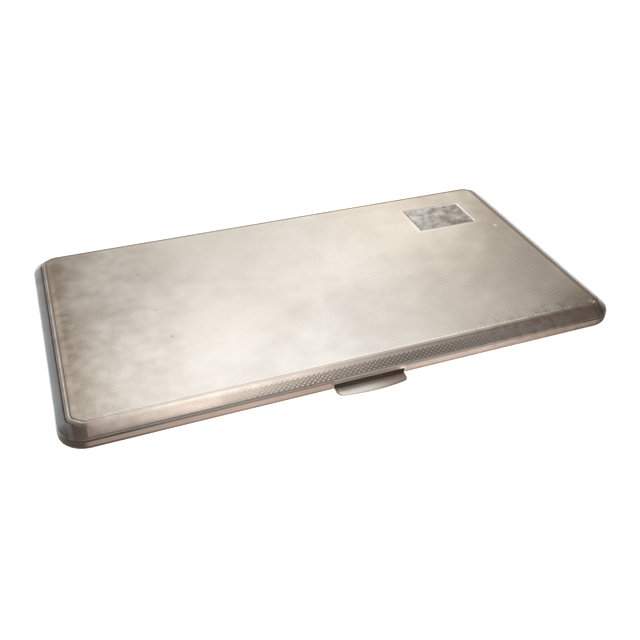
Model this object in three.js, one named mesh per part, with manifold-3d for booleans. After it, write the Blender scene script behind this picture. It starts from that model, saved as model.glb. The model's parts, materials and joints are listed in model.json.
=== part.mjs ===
// A slim pocket cigarette case in silver: two pressed half shells on a barrel hinge, with a sprung
// thumb catch at the front and an elastic strap across the inside.
// Millimetres, +Z up. The origin is the middle of the flat underside. +X runs along the long side,
// and -Y is the front, where the thumb piece stands out below the lid.
import * as THREE from 'three';
import { mergeVertices } from 'three/addons/utils/BufferGeometryUtils.js';
import Module from 'manifold-3d';

// Half shells
const caseLength = 152;
const shellDepth = 81;
const halfHeight = 3.6; // from the flat of a shell to the seam
const rimHeight = 1.4; // upright edge beside the seam
const bevelWidth = 2.7; // sloping border, seen from above
const bevelCrown = 0.1; // how far the bevel swells
const cornerRadius = 6.8; // of the rim
const cornerCut = 3.5; // canted corner at the head of the bevel, along each side
const creaseRound = 0.55; // rounding between bevel and rim
const beadWidth = 1.2; // round the flat, with its crest level with the flat
const beadStep = 0.34; // from the head of the bevel up to the crest
const grooveDepth = 0.14; // between the bead and the flat
const grooveSlope = 0.12; // width of its inner side
const lipChamfer = 0.1; // broken edge at the seam
const sheet = 0.7; // wall
const seamGap = 0.16;

// Cartouche let into the lid, at the back right
const cartoucheLength = 20.4;
const cartoucheDepth = 13.6;
const cartoucheFromEnd = 23.3; // middle of the plate to the right end of the case
const cartoucheFromBack = 18.3; // middle of the plate to the back of the lid
const cartoucheSeat = 0.5; // depth of its recess
const cartoucheLand = 0.12; // narrow edge level with the flat
const cartoucheSlope = 0.4; // width of the slope from that edge down to the field
const cartoucheField = 0.26; // depth of the plain field
const cartoucheGap = 0.08;

// Barrel hinge
const barrelRadius = 1.3;
const pinRadius = 0.6;
const pinClearance = 0.08;
const knuckleCount = 9;
const knuckleGap = 0.2;
const hingeEnd = 0.6; // from the end of the straight back to the first knuckle
const barrelClearance = 0.22; // between the barrel and the coved edges of the shells
const axisStandOff = 0.15; // hinge axis behind the backs of the shells

// Thumb piece
const thumbWidth = 19.2;
const thumbReach = 3.7;
const thumbCrown = 1.2; // how far its middle stands ahead of its ends
const thumbCorner = 1.1; // rounding where its ends meet its front
const thumbCornerRise = 0.3; // how far the front curve starts ahead of those corners
const thumbThickness = 0.9;
const thumbDrop = 1.0; // from the seam down to its top
const thumbEdge = 0.38; // rounding of its edges
const thumbClearance = 0.15; // in its notch

// Catch
const pressTravel = 1.2;
const stopGap = 0.3; // between the slide's foot and the front wall
const slideWidth = 12;
const slideSheet = 0.6;
const keeperWidth = 13;
const keeperSheet = 0.5;
const keeperRise = 0.2; // from the seam up to the keeper
const lipReach = 0.4;
const lipFlat = 0.24; // flat part of the lip, before its rounded tip
const lipHeight = 0.42;
const noseLength = 0.6;
const noseHeight = 0.5;
const noseFace = 0.17; // upright face under the slope that the lid rides down
const noseClearance = 0.12;
const rivetRadius = 0.4;
const rivetHead = 0.62;
const rivetHeadHeight = 0.25;
const rivetDome = 0.46; // radius where the head starts to flatten
const rivetDomeHeight = 0.19;
const rivetSpacing = 7;
const rivetClearance = 0.06;
const springSheet = 0.3;
const springHeight = 2.2;
const springBow = 2;
const springSpan = 31;
const springGap = 0.1;
const lugWall = 0.6;
const lugGrip = 1.5; // length of spring held in a lug
const lugSlack = 0.35; // room for the spring's slope in its lug
const guardWall = 0.5;
const guardBend = 1.2;
const guardGap = 0.6; // from the lugs to the guard

// Closing strips inside the base rim
const stripSheet = 0.45;
const stripRise = 0.85; // above the seam
const stripCatchGap = 1.6; // from the thumb notch to the front strips
const stripHingeGap = 1.2; // from the rounded back corners to the side strips

// Elastic strap and its staples
const strapWidth = 10;
const strapThickness = 0.55;
const strapHem = 9; // length of the folded end
const strapFold = 2.6; // from the bar to where the fold lies flat on the band
const strapWrap = 0.75 * Math.PI; // how far round the bar the fold goes before it comes down
const stapleWire = 0.4; // radius
const stapleBend = 1;
const stapleReach = 3.3; // from the closing strip in to the bar
const stapleDrop = 0.78; // from the seam down to the wire
const strapClearance = 0.14; // round the bar
const strapSideGap = 0.8; // from the strap to the staple's legs

const solderGap = 0.1; // between a fixed piece and its seat

// Facets
const cornerSteps = 7; // along a rounded corner of the case
const bevelSteps = 3; // up the bevel
const curveSteps = 4; // along a rounded edge of a shell
const roundSides = 24; // round the barrel and the pin
const rivetSides = 16;
const stapleSides = 10;
const stapleSteps = 28; // along the wire
const planSteps = 16; // along a curve in a plan shape
const profileSteps = 12; // along a curve in a side profile
const mergeTolerance = 1e-5;

// Places that follow from the sizes
const seam = halfHeight;
const cartoucheX = caseLength / 2 - cartoucheFromEnd;
const cartoucheY = shellDepth / 2 - cartoucheFromBack;
const frontFace = -shellDepth / 2;
const frontWall = frontFace + sheet;
const bevelRise = halfHeight - beadStep - rimHeight;
const bevelAngle = Math.atan2(bevelRise, bevelWidth);
const insideRim = rimHeight // upright part of the wall, inside
  + sheet * ((1 - Math.sin(bevelAngle)) * Math.tan(bevelAngle) - Math.cos(bevelAngle));
const floorTop = sheet;
const hingeY = shellDepth / 2 + axisStandOff;
const hingeLength = caseLength - 2 * (cornerRadius + hingeEnd);
const thumbTop = seam - thumbDrop;
const thumbBase = thumbTop - thumbThickness;
const keeperBack = frontWall + solderGap;
const lipTip = keeperBack + keeperSheet + lipReach;
const slideBack = lipTip + noseClearance + noseLength + slideSheet;
const springFront = slideBack + springGap;
const springEnd = springFront + springBow;
const pieceFloor = floorTop + solderGap;
const notchHalf = thumbWidth / 2 + thumbClearance;
const stripOutside = sheet + solderGap;
const stripInside = stripOutside + stripSheet;

const silver = { color: 0xcfc6bb, metalness: 1, roughness: 0.3 };
const gilt = { color: 0xd9b56a, metalness: 1, roughness: 0.35 };
const steel = { color: 0xa8a8a6, metalness: 1, roughness: 0.35 };
const elastic = { color: 0xd8c7a0, metalness: 0, roughness: 0.9 };

const wasm = await Module();
wasm.setup();

// A closed geometry as a solid that can be joined and cut.
function solidOf(geometry) {
  const bare = geometry.clone();
  bare.deleteAttribute('normal');
  bare.deleteAttribute('uv');
  const merged = mergeVertices(bare, mergeTolerance);
  return new wasm.Manifold(new wasm.Mesh({
    numProp: 3,
    vertProperties: new Float32Array(merged.attributes.position.array),
    triVerts: new Uint32Array(merged.index.array),
  }));
}

function geometryOf(solid) {
  const mesh = solid.getMesh();
  const geometry = new THREE.BufferGeometry();
  geometry.setAttribute('position', new THREE.BufferAttribute(mesh.vertProperties, mesh.numProp));
  geometry.setIndex(new THREE.BufferAttribute(mesh.triVerts, 1));
  geometry.computeVertexNormals();
  return geometry;
}

function cut(geometry, ...cutters) {
  return geometryOf(cutters.reduce((body, cutter) => body.subtract(solidOf(cutter)), solidOf(geometry)));
}

// A box given by its lowest and highest corners.
function block(low, high) {
  const size = high.map((value, axis) => value - low[axis]);
  const middle = high.map((value, axis) => (value + low[axis]) / 2);
  return new THREE.BoxGeometry(...size).translate(...middle);
}

// A plan shape given upright walls from one height to another.
function upright(shape, low, high, bevel = {}) {
  const options = { depth: high - low, bevelEnabled: false, curveSegments: planSteps, ...bevel };
  return new THREE.ExtrudeGeometry(shape, options).translate(0, 0, low);
}

// A side profile in Y and Z, run along X about x = 0.
function alongX(profile, width) {
  const toSide = new THREE.Matrix4().makeBasis(
    new THREE.Vector3(0, 1, 0), new THREE.Vector3(0, 0, 1), new THREE.Vector3(1, 0, 0));
  return new THREE.ExtrudeGeometry(profile, { depth: width, bevelEnabled: false })
    .translate(0, 0, -width / 2).applyMatrix4(toSide);
}

function polygon(...points) {
  return new THREE.Shape(points.map(([x, y]) => new THREE.Vector2(x, y)));
}

// Leg of a corner at an inset: up the bevel the rounding of the rim turns into a cant, and the bead keeps
// its width along that cant.
function cornerLeg(inset) {
  return inset < bevelWidth
    ? THREE.MathUtils.lerp(cornerRadius, cornerCut, inset / bevelWidth)
    : cornerCut - (inset - bevelWidth) * (2 - Math.SQRT2);
}

// One ring of a shell: the outline drawn in by an inset. Its corners run from round at the rim to
// canted at the flat, and all rings have the same number of points, anticlockwise from above.
function shellRing([inset, rise]) {
  const radius = cornerLeg(inset);
  const cant = Math.min(inset / bevelWidth, 1);
  const ring = [];
  for (let corner = 0; corner < 4; corner++) {
    const start = corner * Math.PI / 2;
    const turn = (angle) => new THREE.Vector2(Math.cos(angle), Math.sin(angle)).multiplyScalar(radius);
    const [first, last] = [turn(start), turn(start + Math.PI / 2)];
    const centreX = (corner === 0 || corner === 3 ? 1 : -1) * (caseLength / 2 - inset - radius);
    const centreY = (corner < 2 ? 1 : -1) * (shellDepth / 2 - inset - radius);
    for (let step = 0; step <= cornerSteps; step++) {
      const share = step / cornerSteps;
      const point = turn(start + share * Math.PI / 2).lerp(first.clone().lerp(last, share), cant);
      ring.push(new THREE.Vector3(centreX + point.x, centreY + point.y, rise));
    }
  }
  return ring;
}

// A closed skin over rings of equal count, capped flat at both ends.
function skin(rings) {
  const count = rings[0].length;
  const index = [];
  for (let row = 0; row + 1 < rings.length; row++) {
    for (let column = 0; column < count; column++) {
      const next = (column + 1) % count;
      const [a, b] = [row * count + column, row * count + next];
      index.push(a, b, b + count, a, b + count, a + count);
    }
  }
  const top = (rings.length - 1) * count;
  for (let column = 1; column + 1 < count; column++) {
    index.push(0, column + 1, column, top, top + column, top + column + 1);
  }
  const geometry = new THREE.BufferGeometry().setFromPoints(rings.flat());
  geometry.setIndex(index);
  return geometry;
}

// The wall of a shell as inset and rise above the seam: from the ceiling inside, down to the seam, up
// the outside and over the bead to the flat.
function shellProfile() {
  const [sine, cosine] = [Math.sin(bevelAngle), Math.cos(bevelAngle)];
  const ceiling = halfHeight - sheet;
  const slope = (share) => new THREE.Vector2(
    share * bevelWidth - 4 * share * (1 - share) * bevelCrown * sine,
    rimHeight + share * bevelRise + 4 * share * (1 - share) * bevelCrown * cosine);
  const crease = new THREE.QuadraticBezierCurve(
    new THREE.Vector2(0, rimHeight - creaseRound),
    new THREE.Vector2(0, rimHeight),
    slope(creaseRound * cosine / bevelWidth));
  const crest = bevelWidth + beadWidth / 2;
  const beadSide = (height, from, to) => new THREE.EllipseCurve(
    crest, halfHeight - height, beadWidth / 2, height, from, to, true);
  const outside = beadSide(beadStep, Math.PI, Math.PI / 2);
  const inside = beadSide(grooveDepth, Math.PI / 2, 0);
  return [
    [sheet + (ceiling - insideRim) / Math.tan(bevelAngle), ceiling],
    [sheet, insideRim],
    [sheet, seamGap / 2],
    [lipChamfer, seamGap / 2],
    [0, seamGap / 2 + lipChamfer],
    ...crease.getPoints(curveSteps).map((point) => point.toArray()),
    ...Array.from({ length: bevelSteps - 1 }, (_, row) => slope((row + 1) / bevelSteps).toArray()),
    ...outside.getPoints(curveSteps).map((point) => point.toArray()),
    ...inside.getPoints(curveSteps).slice(1).map((point) => point.toArray()),
    [bevelWidth + beadWidth + grooveSlope, halfHeight],
  ];
}

// Lid half, with its coved back edge still to cut.
function shellGeometry() {
  return skin(shellProfile().map(shellRing)).translate(0, 0, seam);
}

function barrelCove() {
  return new THREE.CylinderGeometry(
    barrelRadius + barrelClearance, barrelRadius + barrelClearance,
    hingeLength + 2 * barrelClearance, roundSides)
    .rotateZ(Math.PI / 2).translate(0, hingeY, seam);
}

function cartoucheOutline(inset) {
  const [x, y] = [cartoucheLength / 2 - inset, cartoucheDepth / 2 - inset];
  return polygon([-x, -y], [x, -y], [x, y], [-x, y]);
}

function lidShell() {
  const recess = upright(cartoucheOutline(-cartoucheGap), 2 * seam - cartoucheSeat, 2 * seam + sheet)
    .translate(cartoucheX, cartoucheY, 0);
  return cut(shellGeometry(), barrelCove(), recess);
}

// Base half, with the notch in its front rim that the thumb piece slides in.
function baseShell() {
  const notch = block(
    [-notchHalf, frontFace - sheet, thumbBase - thumbClearance],
    [notchHalf, slideBack + pressTravel + thumbClearance, seam]);
  const half = shellGeometry().translate(0, 0, -seam).rotateX(Math.PI).translate(0, 0, seam);
  return cut(half, barrelCove(), notch);
}

function cartouchePlate() {
  const top = 2 * seam;
  const plate = upright(cartoucheOutline(0), top - cartoucheSeat + cartoucheGap, top);
  const slope = {
    bevelEnabled: true, bevelThickness: cartoucheField, bevelSize: cartoucheSlope, bevelSegments: 1,
  };
  const field = upright(cartoucheOutline(cartoucheLand + cartoucheSlope), top, top + sheet, slope);
  return cut(plate, field).translate(cartoucheX, cartoucheY, 0);
}

// One hinge knuckle: a short tube on the hinge axis, counted from the left.
function knuckle(number) {
  const length = (hingeLength - (knuckleCount - 1) * knuckleGap) / knuckleCount;
  const start = -hingeLength / 2 + number * (length + knuckleGap);
  const ring = new THREE.Shape().absarc(0, 0, barrelRadius, 0, 2 * Math.PI);
  ring.holes.push(new THREE.Path().absarc(0, 0, pinRadius + pinClearance, 0, 2 * Math.PI));
  const options = { depth: length, bevelEnabled: false, curveSegments: roundSides / 2 };
  return new THREE.ExtrudeGeometry(ring, options)
    .rotateY(Math.PI / 2).translate(start, hingeY, seam);
}

function hingePin() {
  return new THREE.CylinderGeometry(pinRadius, pinRadius, hingeLength, roundSides)
    .rotateZ(Math.PI / 2).translate(0, hingeY, seam);
}

function rivetX(side) {
  return side * rivetSpacing / 2;
}

function rivetY() {
  return (frontWall + stopGap + slideBack - slideSheet) / 2;
}

// Holes for the two rivets, through whatever lies in their way.
function rivetHoles() {
  return [-1, 1].map((side) =>
    new THREE.CylinderGeometry(
      rivetRadius + rivetClearance, rivetRadius + rivetClearance, halfHeight, rivetSides)
      .rotateX(Math.PI / 2).translate(rivetX(side), rivetY(), thumbTop));
}

// A curved lip whose tail runs through the front wall to the back of the slide.
function thumbPiece() {
  const half = thumbWidth / 2;
  const tip = frontFace - thumbReach;
  const shoulder = tip + thumbCrown;
  const arcEnd = shoulder - thumbCornerRise;
  const arcPull = (4 * tip - arcEnd) / 3; // brings the middle of the curve to the tip
  const outline = new THREE.Shape();
  outline.moveTo(-half, slideBack);
  outline.lineTo(-half, shoulder + thumbCorner);
  outline.quadraticCurveTo(-half, shoulder, -half + thumbCorner, arcEnd);
  outline.bezierCurveTo(-half / 2, arcPull, half / 2, arcPull, half - thumbCorner, arcEnd);
  outline.quadraticCurveTo(half, shoulder, half, shoulder + thumbCorner);
  outline.lineTo(half, slideBack);
  const rounding = {
    bevelEnabled: true, bevelThickness: thumbEdge, bevelSize: thumbEdge, bevelOffset: -thumbEdge,
    bevelSegments: curveSteps,
  };
  const lip = upright(outline, thumbBase + thumbEdge, thumbTop - thumbEdge, rounding);
  return cut(lip, ...rivetHoles());
}

// The slide: a foot on the thumb piece's tail, and an upright whose nose reaches over the keeper.
function catchSlide() {
  const footFront = frontWall + stopGap;
  const footBase = thumbTop + solderGap;
  const uprightFront = slideBack - slideSheet;
  const noseBase = seam + keeperRise + lipHeight + noseClearance;
  const noseTop = noseBase + noseHeight;
  const profile = polygon(
    [footFront, footBase], [slideBack, footBase], [slideBack, noseTop],
    [uprightFront, noseTop], [uprightFront - noseLength, noseBase + noseFace],
    [uprightFront - noseLength, noseBase], [uprightFront, noseBase],
    [uprightFront, footBase + slideSheet], [footFront, footBase + slideSheet]);
  return cut(alongX(profile, slideWidth), ...rivetHoles());
}

function rivet(side) {
  const headBase = thumbTop + 2 * solderGap + slideSheet;
  const profile = [
    [0, thumbBase], [rivetRadius, thumbBase], [rivetRadius, headBase], [rivetHead, headBase],
    [rivetDome, headBase + rivetDomeHeight], [0, headBase + rivetHeadHeight],
  ].map(([radius, height]) => new THREE.Vector2(radius, height));
  return new THREE.LatheGeometry(profile, rivetSides).rotateX(Math.PI / 2)
    .translate(rivetX(side), rivetY(), 0);
}

// Keeper: a strip inside the lid's front rim, with a lip that the nose rides over.
function catchKeeper() {
  const foot = seam + keeperRise;
  const head = seam + insideRim;
  const face = keeperBack + keeperSheet;
  return alongX(polygon(
    [keeperBack, foot], [face + lipFlat, foot], [lipTip, foot + lipHeight / 2],
    [face + lipFlat, foot + lipHeight], [face, foot + lipHeight],
    [face, head], [keeperBack, head]), keeperWidth);
}

// Leaf spring, bowed forward onto the slide, with its ends in the lugs.
function catchSpring() {
  const half = springSpan / 2;
  const radius = (half * half + springBow * springBow) / (2 * springBow);
  const spread = Math.asin(half / radius);
  const leaf = new THREE.Shape();
  leaf.absarc(0, springFront + radius, radius, -Math.PI / 2 - spread, -Math.PI / 2 + spread, false);
  leaf.absarc(0, springFront + radius, radius - springSheet,
    -Math.PI / 2 + spread, -Math.PI / 2 - spread, true);
  return upright(leaf, pieceFloor + solderGap, pieceFloor + solderGap + springHeight);
}

// A lug on the floor, slotted for one end of the spring.
function springLug(side) {
  const open = springSpan / 2 - lugGrip;
  const shut = springSpan / 2 + lugSlack;
  const front = springEnd - lugSlack;
  const back = springEnd + springSheet + lugSlack;
  const plan = polygon(
    [side * open, front - lugWall], [side * (shut + lugWall), front - lugWall],
    [side * (shut + lugWall), back + lugWall], [side * open, back + lugWall],
    [side * open, back], [side * shut, back], [side * shut, front], [side * open, front]);
  return upright(plan, pieceFloor, pieceFloor + springHeight + 2 * solderGap);
}

// Guard: a low bent wall that keeps the spring and its lugs clear of what the case holds.
function catchGuard() {
  const inside = springSpan / 2 + lugSlack + lugWall + guardGap;
  const back = springEnd + springSheet + lugSlack + lugWall + guardGap;
  const front = slideBack + pressTravel;
  const outside = inside + guardWall;
  const bendIn = guardBend;
  const bendOut = guardBend + guardWall;
  const plan = new THREE.Shape();
  plan.moveTo(-outside, front);
  plan.lineTo(-outside, back + guardWall - bendOut);
  plan.absarc(-outside + bendOut, back + guardWall - bendOut, bendOut, Math.PI, Math.PI / 2, true);
  plan.lineTo(outside - bendOut, back + guardWall);
  plan.absarc(outside - bendOut, back + guardWall - bendOut, bendOut, Math.PI / 2, 0, true);
  plan.lineTo(outside, front);
  plan.lineTo(inside, front);
  plan.lineTo(inside, back - bendIn);
  plan.absarc(inside - bendIn, back - bendIn, bendIn, 0, Math.PI / 2, false);
  plan.lineTo(-inside + bendIn, back);
  plan.absarc(-inside + bendIn, back - bendIn, bendIn, Math.PI / 2, Math.PI, false);
  plan.lineTo(-inside, front);
  return upright(plan, pieceFloor, pieceFloor + springHeight + 2 * solderGap);
}

// A closing strip: a narrow band inside the rim, thinned at the top so that the lid finds its way.
function stripProfile() {
  const [low, high] = [seam - insideRim, seam + stripRise];
  return polygon([0, low], [stripSheet, low], [stripSheet, high], [stripSheet / 2, high], [0, seam]);
}

function frontStrip(side) {
  const start = notchHalf + stripCatchGap;
  const length = caseLength / 2 - cornerRadius - start;
  return alongX(stripProfile(), length)
    .translate(side * (start + length / 2), frontFace + stripOutside, 0);
}

function sideStrip(side) {
  const front = frontFace + cornerRadius;
  const length = shellDepth - 2 * cornerRadius - stripHingeGap;
  return alongX(stripProfile(), length).rotateZ(side * Math.PI / 2)
    .translate(side * (caseLength / 2 - stripOutside), front + length / 2, 0);
}

function barX() {
  return caseLength / 2 - stripInside - stapleReach;
}

// A wire staple: a bar across the case, with two bent legs soldered to the closing strip.
function strapStaple(side) {
  const bar = barX();
  const legY = strapWidth / 2 + strapSideGap + stapleWire;
  const tip = caseLength / 2 - stripInside - solderGap;
  const at = (x, y) => new THREE.Vector3(side * x, y, seam - stapleDrop);
  const path = new THREE.CurvePath();
  path.add(new THREE.LineCurve3(at(tip, -legY), at(bar + stapleBend, -legY)));
  path.add(new THREE.QuadraticBezierCurve3(
    at(bar + stapleBend, -legY), at(bar, -legY), at(bar, -legY + stapleBend)));
  path.add(new THREE.LineCurve3(at(bar, -legY + stapleBend), at(bar, legY - stapleBend)));
  path.add(new THREE.QuadraticBezierCurve3(
    at(bar, legY - stapleBend), at(bar, legY), at(bar + stapleBend, legY)));
  path.add(new THREE.LineCurve3(at(bar + stapleBend, legY), at(tip, legY)));
  const section = new THREE.Shape().absarc(0, 0, stapleWire, 0, 2 * Math.PI);
  const options = { extrudePath: path, steps: stapleSteps, curveSegments: stapleSides / 2 };
  return new THREE.ExtrudeGeometry(section, options);
}

// Elastic strap: a flat band whose ends fold round the staples and lie back on it as hems.
function elasticStrap() {
  const eye = stapleWire + strapClearance;
  const loop = eye + strapThickness;
  const bar = barX();
  const middle = seam - stapleDrop;
  const under = middle - loop;
  const hemEnd = bar - strapHem;
  const fold = [bar + loop * Math.cos(strapWrap), middle + loop * Math.sin(strapWrap)];
  const hemStart = bar - strapFold;
  const band = new THREE.Shape();
  band.moveTo(-bar, under);
  band.lineTo(bar, under);
  band.absarc(bar, middle, loop, -Math.PI / 2, strapWrap, false);
  band.lineTo(...fold);
  band.lineTo(hemStart, under + 2 * strapThickness);
  band.lineTo(hemEnd, under + 2 * strapThickness);
  band.lineTo(hemEnd, under + strapThickness);
  band.lineTo(-hemEnd, under + strapThickness);
  band.lineTo(-hemEnd, under + 2 * strapThickness);
  band.lineTo(-hemStart, under + 2 * strapThickness);
  band.lineTo(-fold[0], fold[1]);
  band.absarc(-bar, middle, loop, Math.PI - strapWrap, 1.5 * Math.PI, false);
  for (const side of [-1, 1]) {
    band.holes.push(new THREE.Path().absarc(side * bar, middle, eye, 0, 2 * Math.PI));
  }
  const options = { depth: strapWidth, bevelEnabled: false, curveSegments: profileSteps };
  return new THREE.ExtrudeGeometry(band, options)
    .rotateX(Math.PI / 2).translate(0, strapWidth / 2, 0);
}

function add(group, name, geometry, finish) {
  const mesh = new THREE.Mesh(geometry, new THREE.MeshStandardMaterial(finish));
  mesh.name = name;
  group.add(mesh);
}

const sides = [['left', -1], ['right', 1]];

const base = new THREE.Group();
add(base, 'base_shell', baseShell(), silver);
add(base, 'hinge_pin', hingePin(), steel);
add(base, 'catch_spring', catchSpring(), steel);
add(base, 'catch_guard', catchGuard(), gilt);
add(base, 'elastic_strap', elasticStrap(), elastic);
for (const [name, side] of sides) {
  add(base, `spring_lug_${name}`, springLug(side), gilt);
  add(base, `closing_strip_front_${name}`, frontStrip(side), gilt);
  add(base, `closing_strip_${name}`, sideStrip(side), gilt);
  add(base, `strap_staple_${name}`, strapStaple(side), gilt);
}

const lid = new THREE.Group();
add(lid, 'lid_shell', lidShell(), silver);
add(lid, 'cartouche_plate', cartouchePlate(), silver);
add(lid, 'catch_keeper', catchKeeper(), gilt);
for (let number = 0; number < knuckleCount; number++) {
  const onLid = number % 2 === 1;
  const name = `${onLid ? 'lid' : 'base'}_knuckle_${Math.floor(number / 2) + 1}`;
  add(onLid ? lid : base, name, knuckle(number), silver);
}

const catchGroup = new THREE.Group();
add(catchGroup, 'thumb_piece', thumbPiece(), silver);
add(catchGroup, 'catch_slide', catchSlide(), gilt);
for (const [name, side] of sides) {
  add(catchGroup, `catch_rivet_${name}`, rivet(side), steel);
}

const cigaretteCase = new THREE.Group();
cigaretteCase.add(base, lid, catchGroup);

export default cigaretteCase;
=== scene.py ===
# %% [markdown]
# # A slim silver cigarette case
# The case is two shallow pressed shells on a barrel hinge. Both flats are engine-turned with small
# lozenges, a sprung thumb piece at the front opens it, and an elastic strap holds the cigarettes.
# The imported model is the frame: every piece below takes its place and size from it, in metres, and
# only adds the finer surface that a silversmith would give it.

# %% Load the frame
import json
import math

import bmesh
import bpy
import numpy as np
from mathutils import Matrix, Quaternion, Vector
from mathutils.geometry import delaunay_2d_cdt


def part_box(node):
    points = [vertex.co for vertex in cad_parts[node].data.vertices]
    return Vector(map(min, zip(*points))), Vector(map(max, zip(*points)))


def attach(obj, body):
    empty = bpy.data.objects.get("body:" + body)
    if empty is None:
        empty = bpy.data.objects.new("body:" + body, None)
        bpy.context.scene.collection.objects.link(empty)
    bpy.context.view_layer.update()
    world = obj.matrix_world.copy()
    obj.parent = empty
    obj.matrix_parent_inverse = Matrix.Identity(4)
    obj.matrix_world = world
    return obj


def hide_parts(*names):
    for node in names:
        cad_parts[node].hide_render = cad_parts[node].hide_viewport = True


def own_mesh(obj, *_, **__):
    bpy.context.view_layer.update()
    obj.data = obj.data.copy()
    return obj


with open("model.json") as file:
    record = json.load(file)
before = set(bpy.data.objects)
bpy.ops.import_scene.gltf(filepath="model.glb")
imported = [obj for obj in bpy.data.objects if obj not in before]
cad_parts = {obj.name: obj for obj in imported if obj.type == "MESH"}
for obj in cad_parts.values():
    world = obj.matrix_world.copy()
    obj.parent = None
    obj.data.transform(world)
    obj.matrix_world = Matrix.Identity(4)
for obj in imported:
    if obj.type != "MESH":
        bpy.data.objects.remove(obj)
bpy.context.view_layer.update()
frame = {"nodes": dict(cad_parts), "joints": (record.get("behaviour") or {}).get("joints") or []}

MM = 0.001

# %% [markdown]
# ## Measures
# A maker starts from a few sizes and works the rest out. The length, the depth, the seam and the hinge
# come from the frame's own boxes. The widths of the bevel and the bead are the shell's section, and
# they repeat the section that the solids were made with. Only the cants across the corners are a little
# shorter, because polishing has drawn them in.

# %% Measure the shells
lid_low, lid_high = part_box("lid_shell")
base_low, base_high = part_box("base_shell")
barrel_low, barrel_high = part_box("base_knuckle_1")
plate_low, plate_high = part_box("cartouche_plate")
thumb_low, thumb_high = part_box("thumb_piece")

half_length = (lid_high.x - lid_low.x) / 2
half_depth = (lid_high.y - lid_low.y) / 2
seam = (lid_low.z + base_high.z) / 2
half_height = lid_high.z - seam
SEAM_GAP = 0.015 * MM  # a well fitted lid leaves hardly a line
hinge_y = (barrel_low.y + barrel_high.y) / 2
barrel_radius = (barrel_high.z - barrel_low.z) / 2
print(f"case {2000 * half_length:.1f} x {2000 * half_depth:.1f} x {2000 * half_height:.1f} mm")

SHEET = 0.7 * MM  # wall of the pressed silver
RIM_HEIGHT = 1.4 * MM  # upright edge beside the seam
BEVEL_WIDTH = 2.7 * MM
BEVEL_CROWN = 0.1 * MM
CORNER_RADIUS = 6.8 * MM  # of the rim
CORNER_CUT = 3.0 * MM  # canted corner at the head of the bevel
CREASE_ROUND = 0.55 * MM  # between bevel and rim
BEAD_WIDTH = 1.2 * MM  # round the flat, with its crest level with the flat
BEAD_STEP = 0.34 * MM  # from the head of the bevel up to the crest
GROOVE_DEPTH = 0.14 * MM  # between the bead and the flat
GROOVE_SLOPE = 0.12 * MM
LIP_CHAMFER = 0.02 * MM
BARREL_CLEARANCE = 0.22 * MM
CARTOUCHE_GAP = 0.08 * MM

# %% [markdown]
# ## Mesh helpers
# Nearly every piece here is a grid of points: rows along a path or up a profile, and columns that go
# round. One helper joins such a grid with faces, another fills its ends as well, and one puts a
# finished mesh into the scene, on the body that carries it and in place of the plain solid that it
# stands for.

# %% Grids
def ring_faces(rows, columns, wrap_rows=False):
    """Faces over a grid of points that are numbered row by row, where every row goes round."""
    faces = []
    for row in range(rows if wrap_rows else rows - 1):
        near, far = row * columns, (row + 1) % rows * columns
        for column in range(columns):
            after = (column + 1) % columns
            faces.append((near + column, near + after, far + after, far + column))
    return faces


def loft_faces(rows, columns):
    """Faces over closed sections that follow each other, with the first and the last one filled."""
    first, last = range(columns), range((rows - 1) * columns, rows * columns)
    return ring_faces(rows, columns) + [tuple(reversed(first)), tuple(last)]


# %% Meshes and pieces
def mesh_of(name, points, faces):
    mesh = bpy.data.meshes.new(name)
    mesh.from_pydata([tuple(point) for point in points], [], faces)
    mesh.validate()
    return mesh


def smooth(mesh, sharp_degrees):
    """Smooth shading, with edges kept crisp where faces meet at more than this angle."""
    mesh.polygons.foreach_set("use_smooth", [True] * len(mesh.polygons))
    mesh.set_sharp_from_angle(angle=math.radians(sharp_degrees))


def outward(mesh):
    """Turns the faces of a closed mesh to point out."""
    work = bmesh.new()
    work.from_mesh(mesh)
    bmesh.ops.recalc_face_normals(work, faces=work.faces)
    work.to_mesh(mesh)
    work.free()


def closed_mesh(name, points, faces, sharp_degrees):
    """A closed mesh that faces out and is shaded smooth."""
    mesh = mesh_of(name, points, faces)
    outward(mesh)
    smooth(mesh, sharp_degrees)
    return mesh


def add(name, data):
    """A new object in the scene."""
    made = bpy.data.objects.new(name, data)
    bpy.context.scene.collection.objects.link(made)
    return made


def put(name, mesh, body, nodes, slot, *finishes):
    """A mesh as a piece of the case, on a body, in place of the nodes that it stands for."""
    piece = add(name, mesh)
    for finish in finishes:
        mesh.materials.append(finish)
    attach(piece, body)
    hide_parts(*nodes)
    print(f"{name}: {len(mesh.polygons)} faces, on the {body}")
    return piece


# %% [markdown]
# ## Shader arithmetic
# A finish is a recipe: this much tarnish where the surface is sheltered, less where a thumb rubs it.
# Such a recipe reads best as an expression. A small class wraps a socket, so that adding or
# multiplying two of them adds the node that does it. Values go through Math nodes, colours through
# Mix and vectors through Vector Math, because a Math node would turn a colour grey.

# %% The socket
class Socket:
    """The output of a node, which can be reckoned with."""

    def __init__(self, finish, link):
        self.finish = finish
        self.link = link

    def __add__(self, other):
        return self.finish.reckon("ADD", self, other)

    def __sub__(self, other):
        return self.finish.reckon("SUBTRACT", self, other)

    def __mul__(self, other):
        return self.finish.reckon("MULTIPLY", self, other)

    def __radd__(self, other):
        return self.finish.reckon("ADD", other, self)

    def __rsub__(self, other):
        return self.finish.reckon("SUBTRACT", other, self)

    def __rmul__(self, other):
        return self.finish.reckon("MULTIPLY", other, self)


# %% [markdown]
# ## What a finish is made of
# A finish is one material with one shader, and a few words for the stuff of its recipes: a fade from
# one value to another, clouds of noise, streaks, and values that a mesh stores on its points. All its
# nodes come from one method, which makes a node's settings before it feeds its sockets. Places are taken
# on the piece itself, so that a finish stays with a piece that moves.

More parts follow.
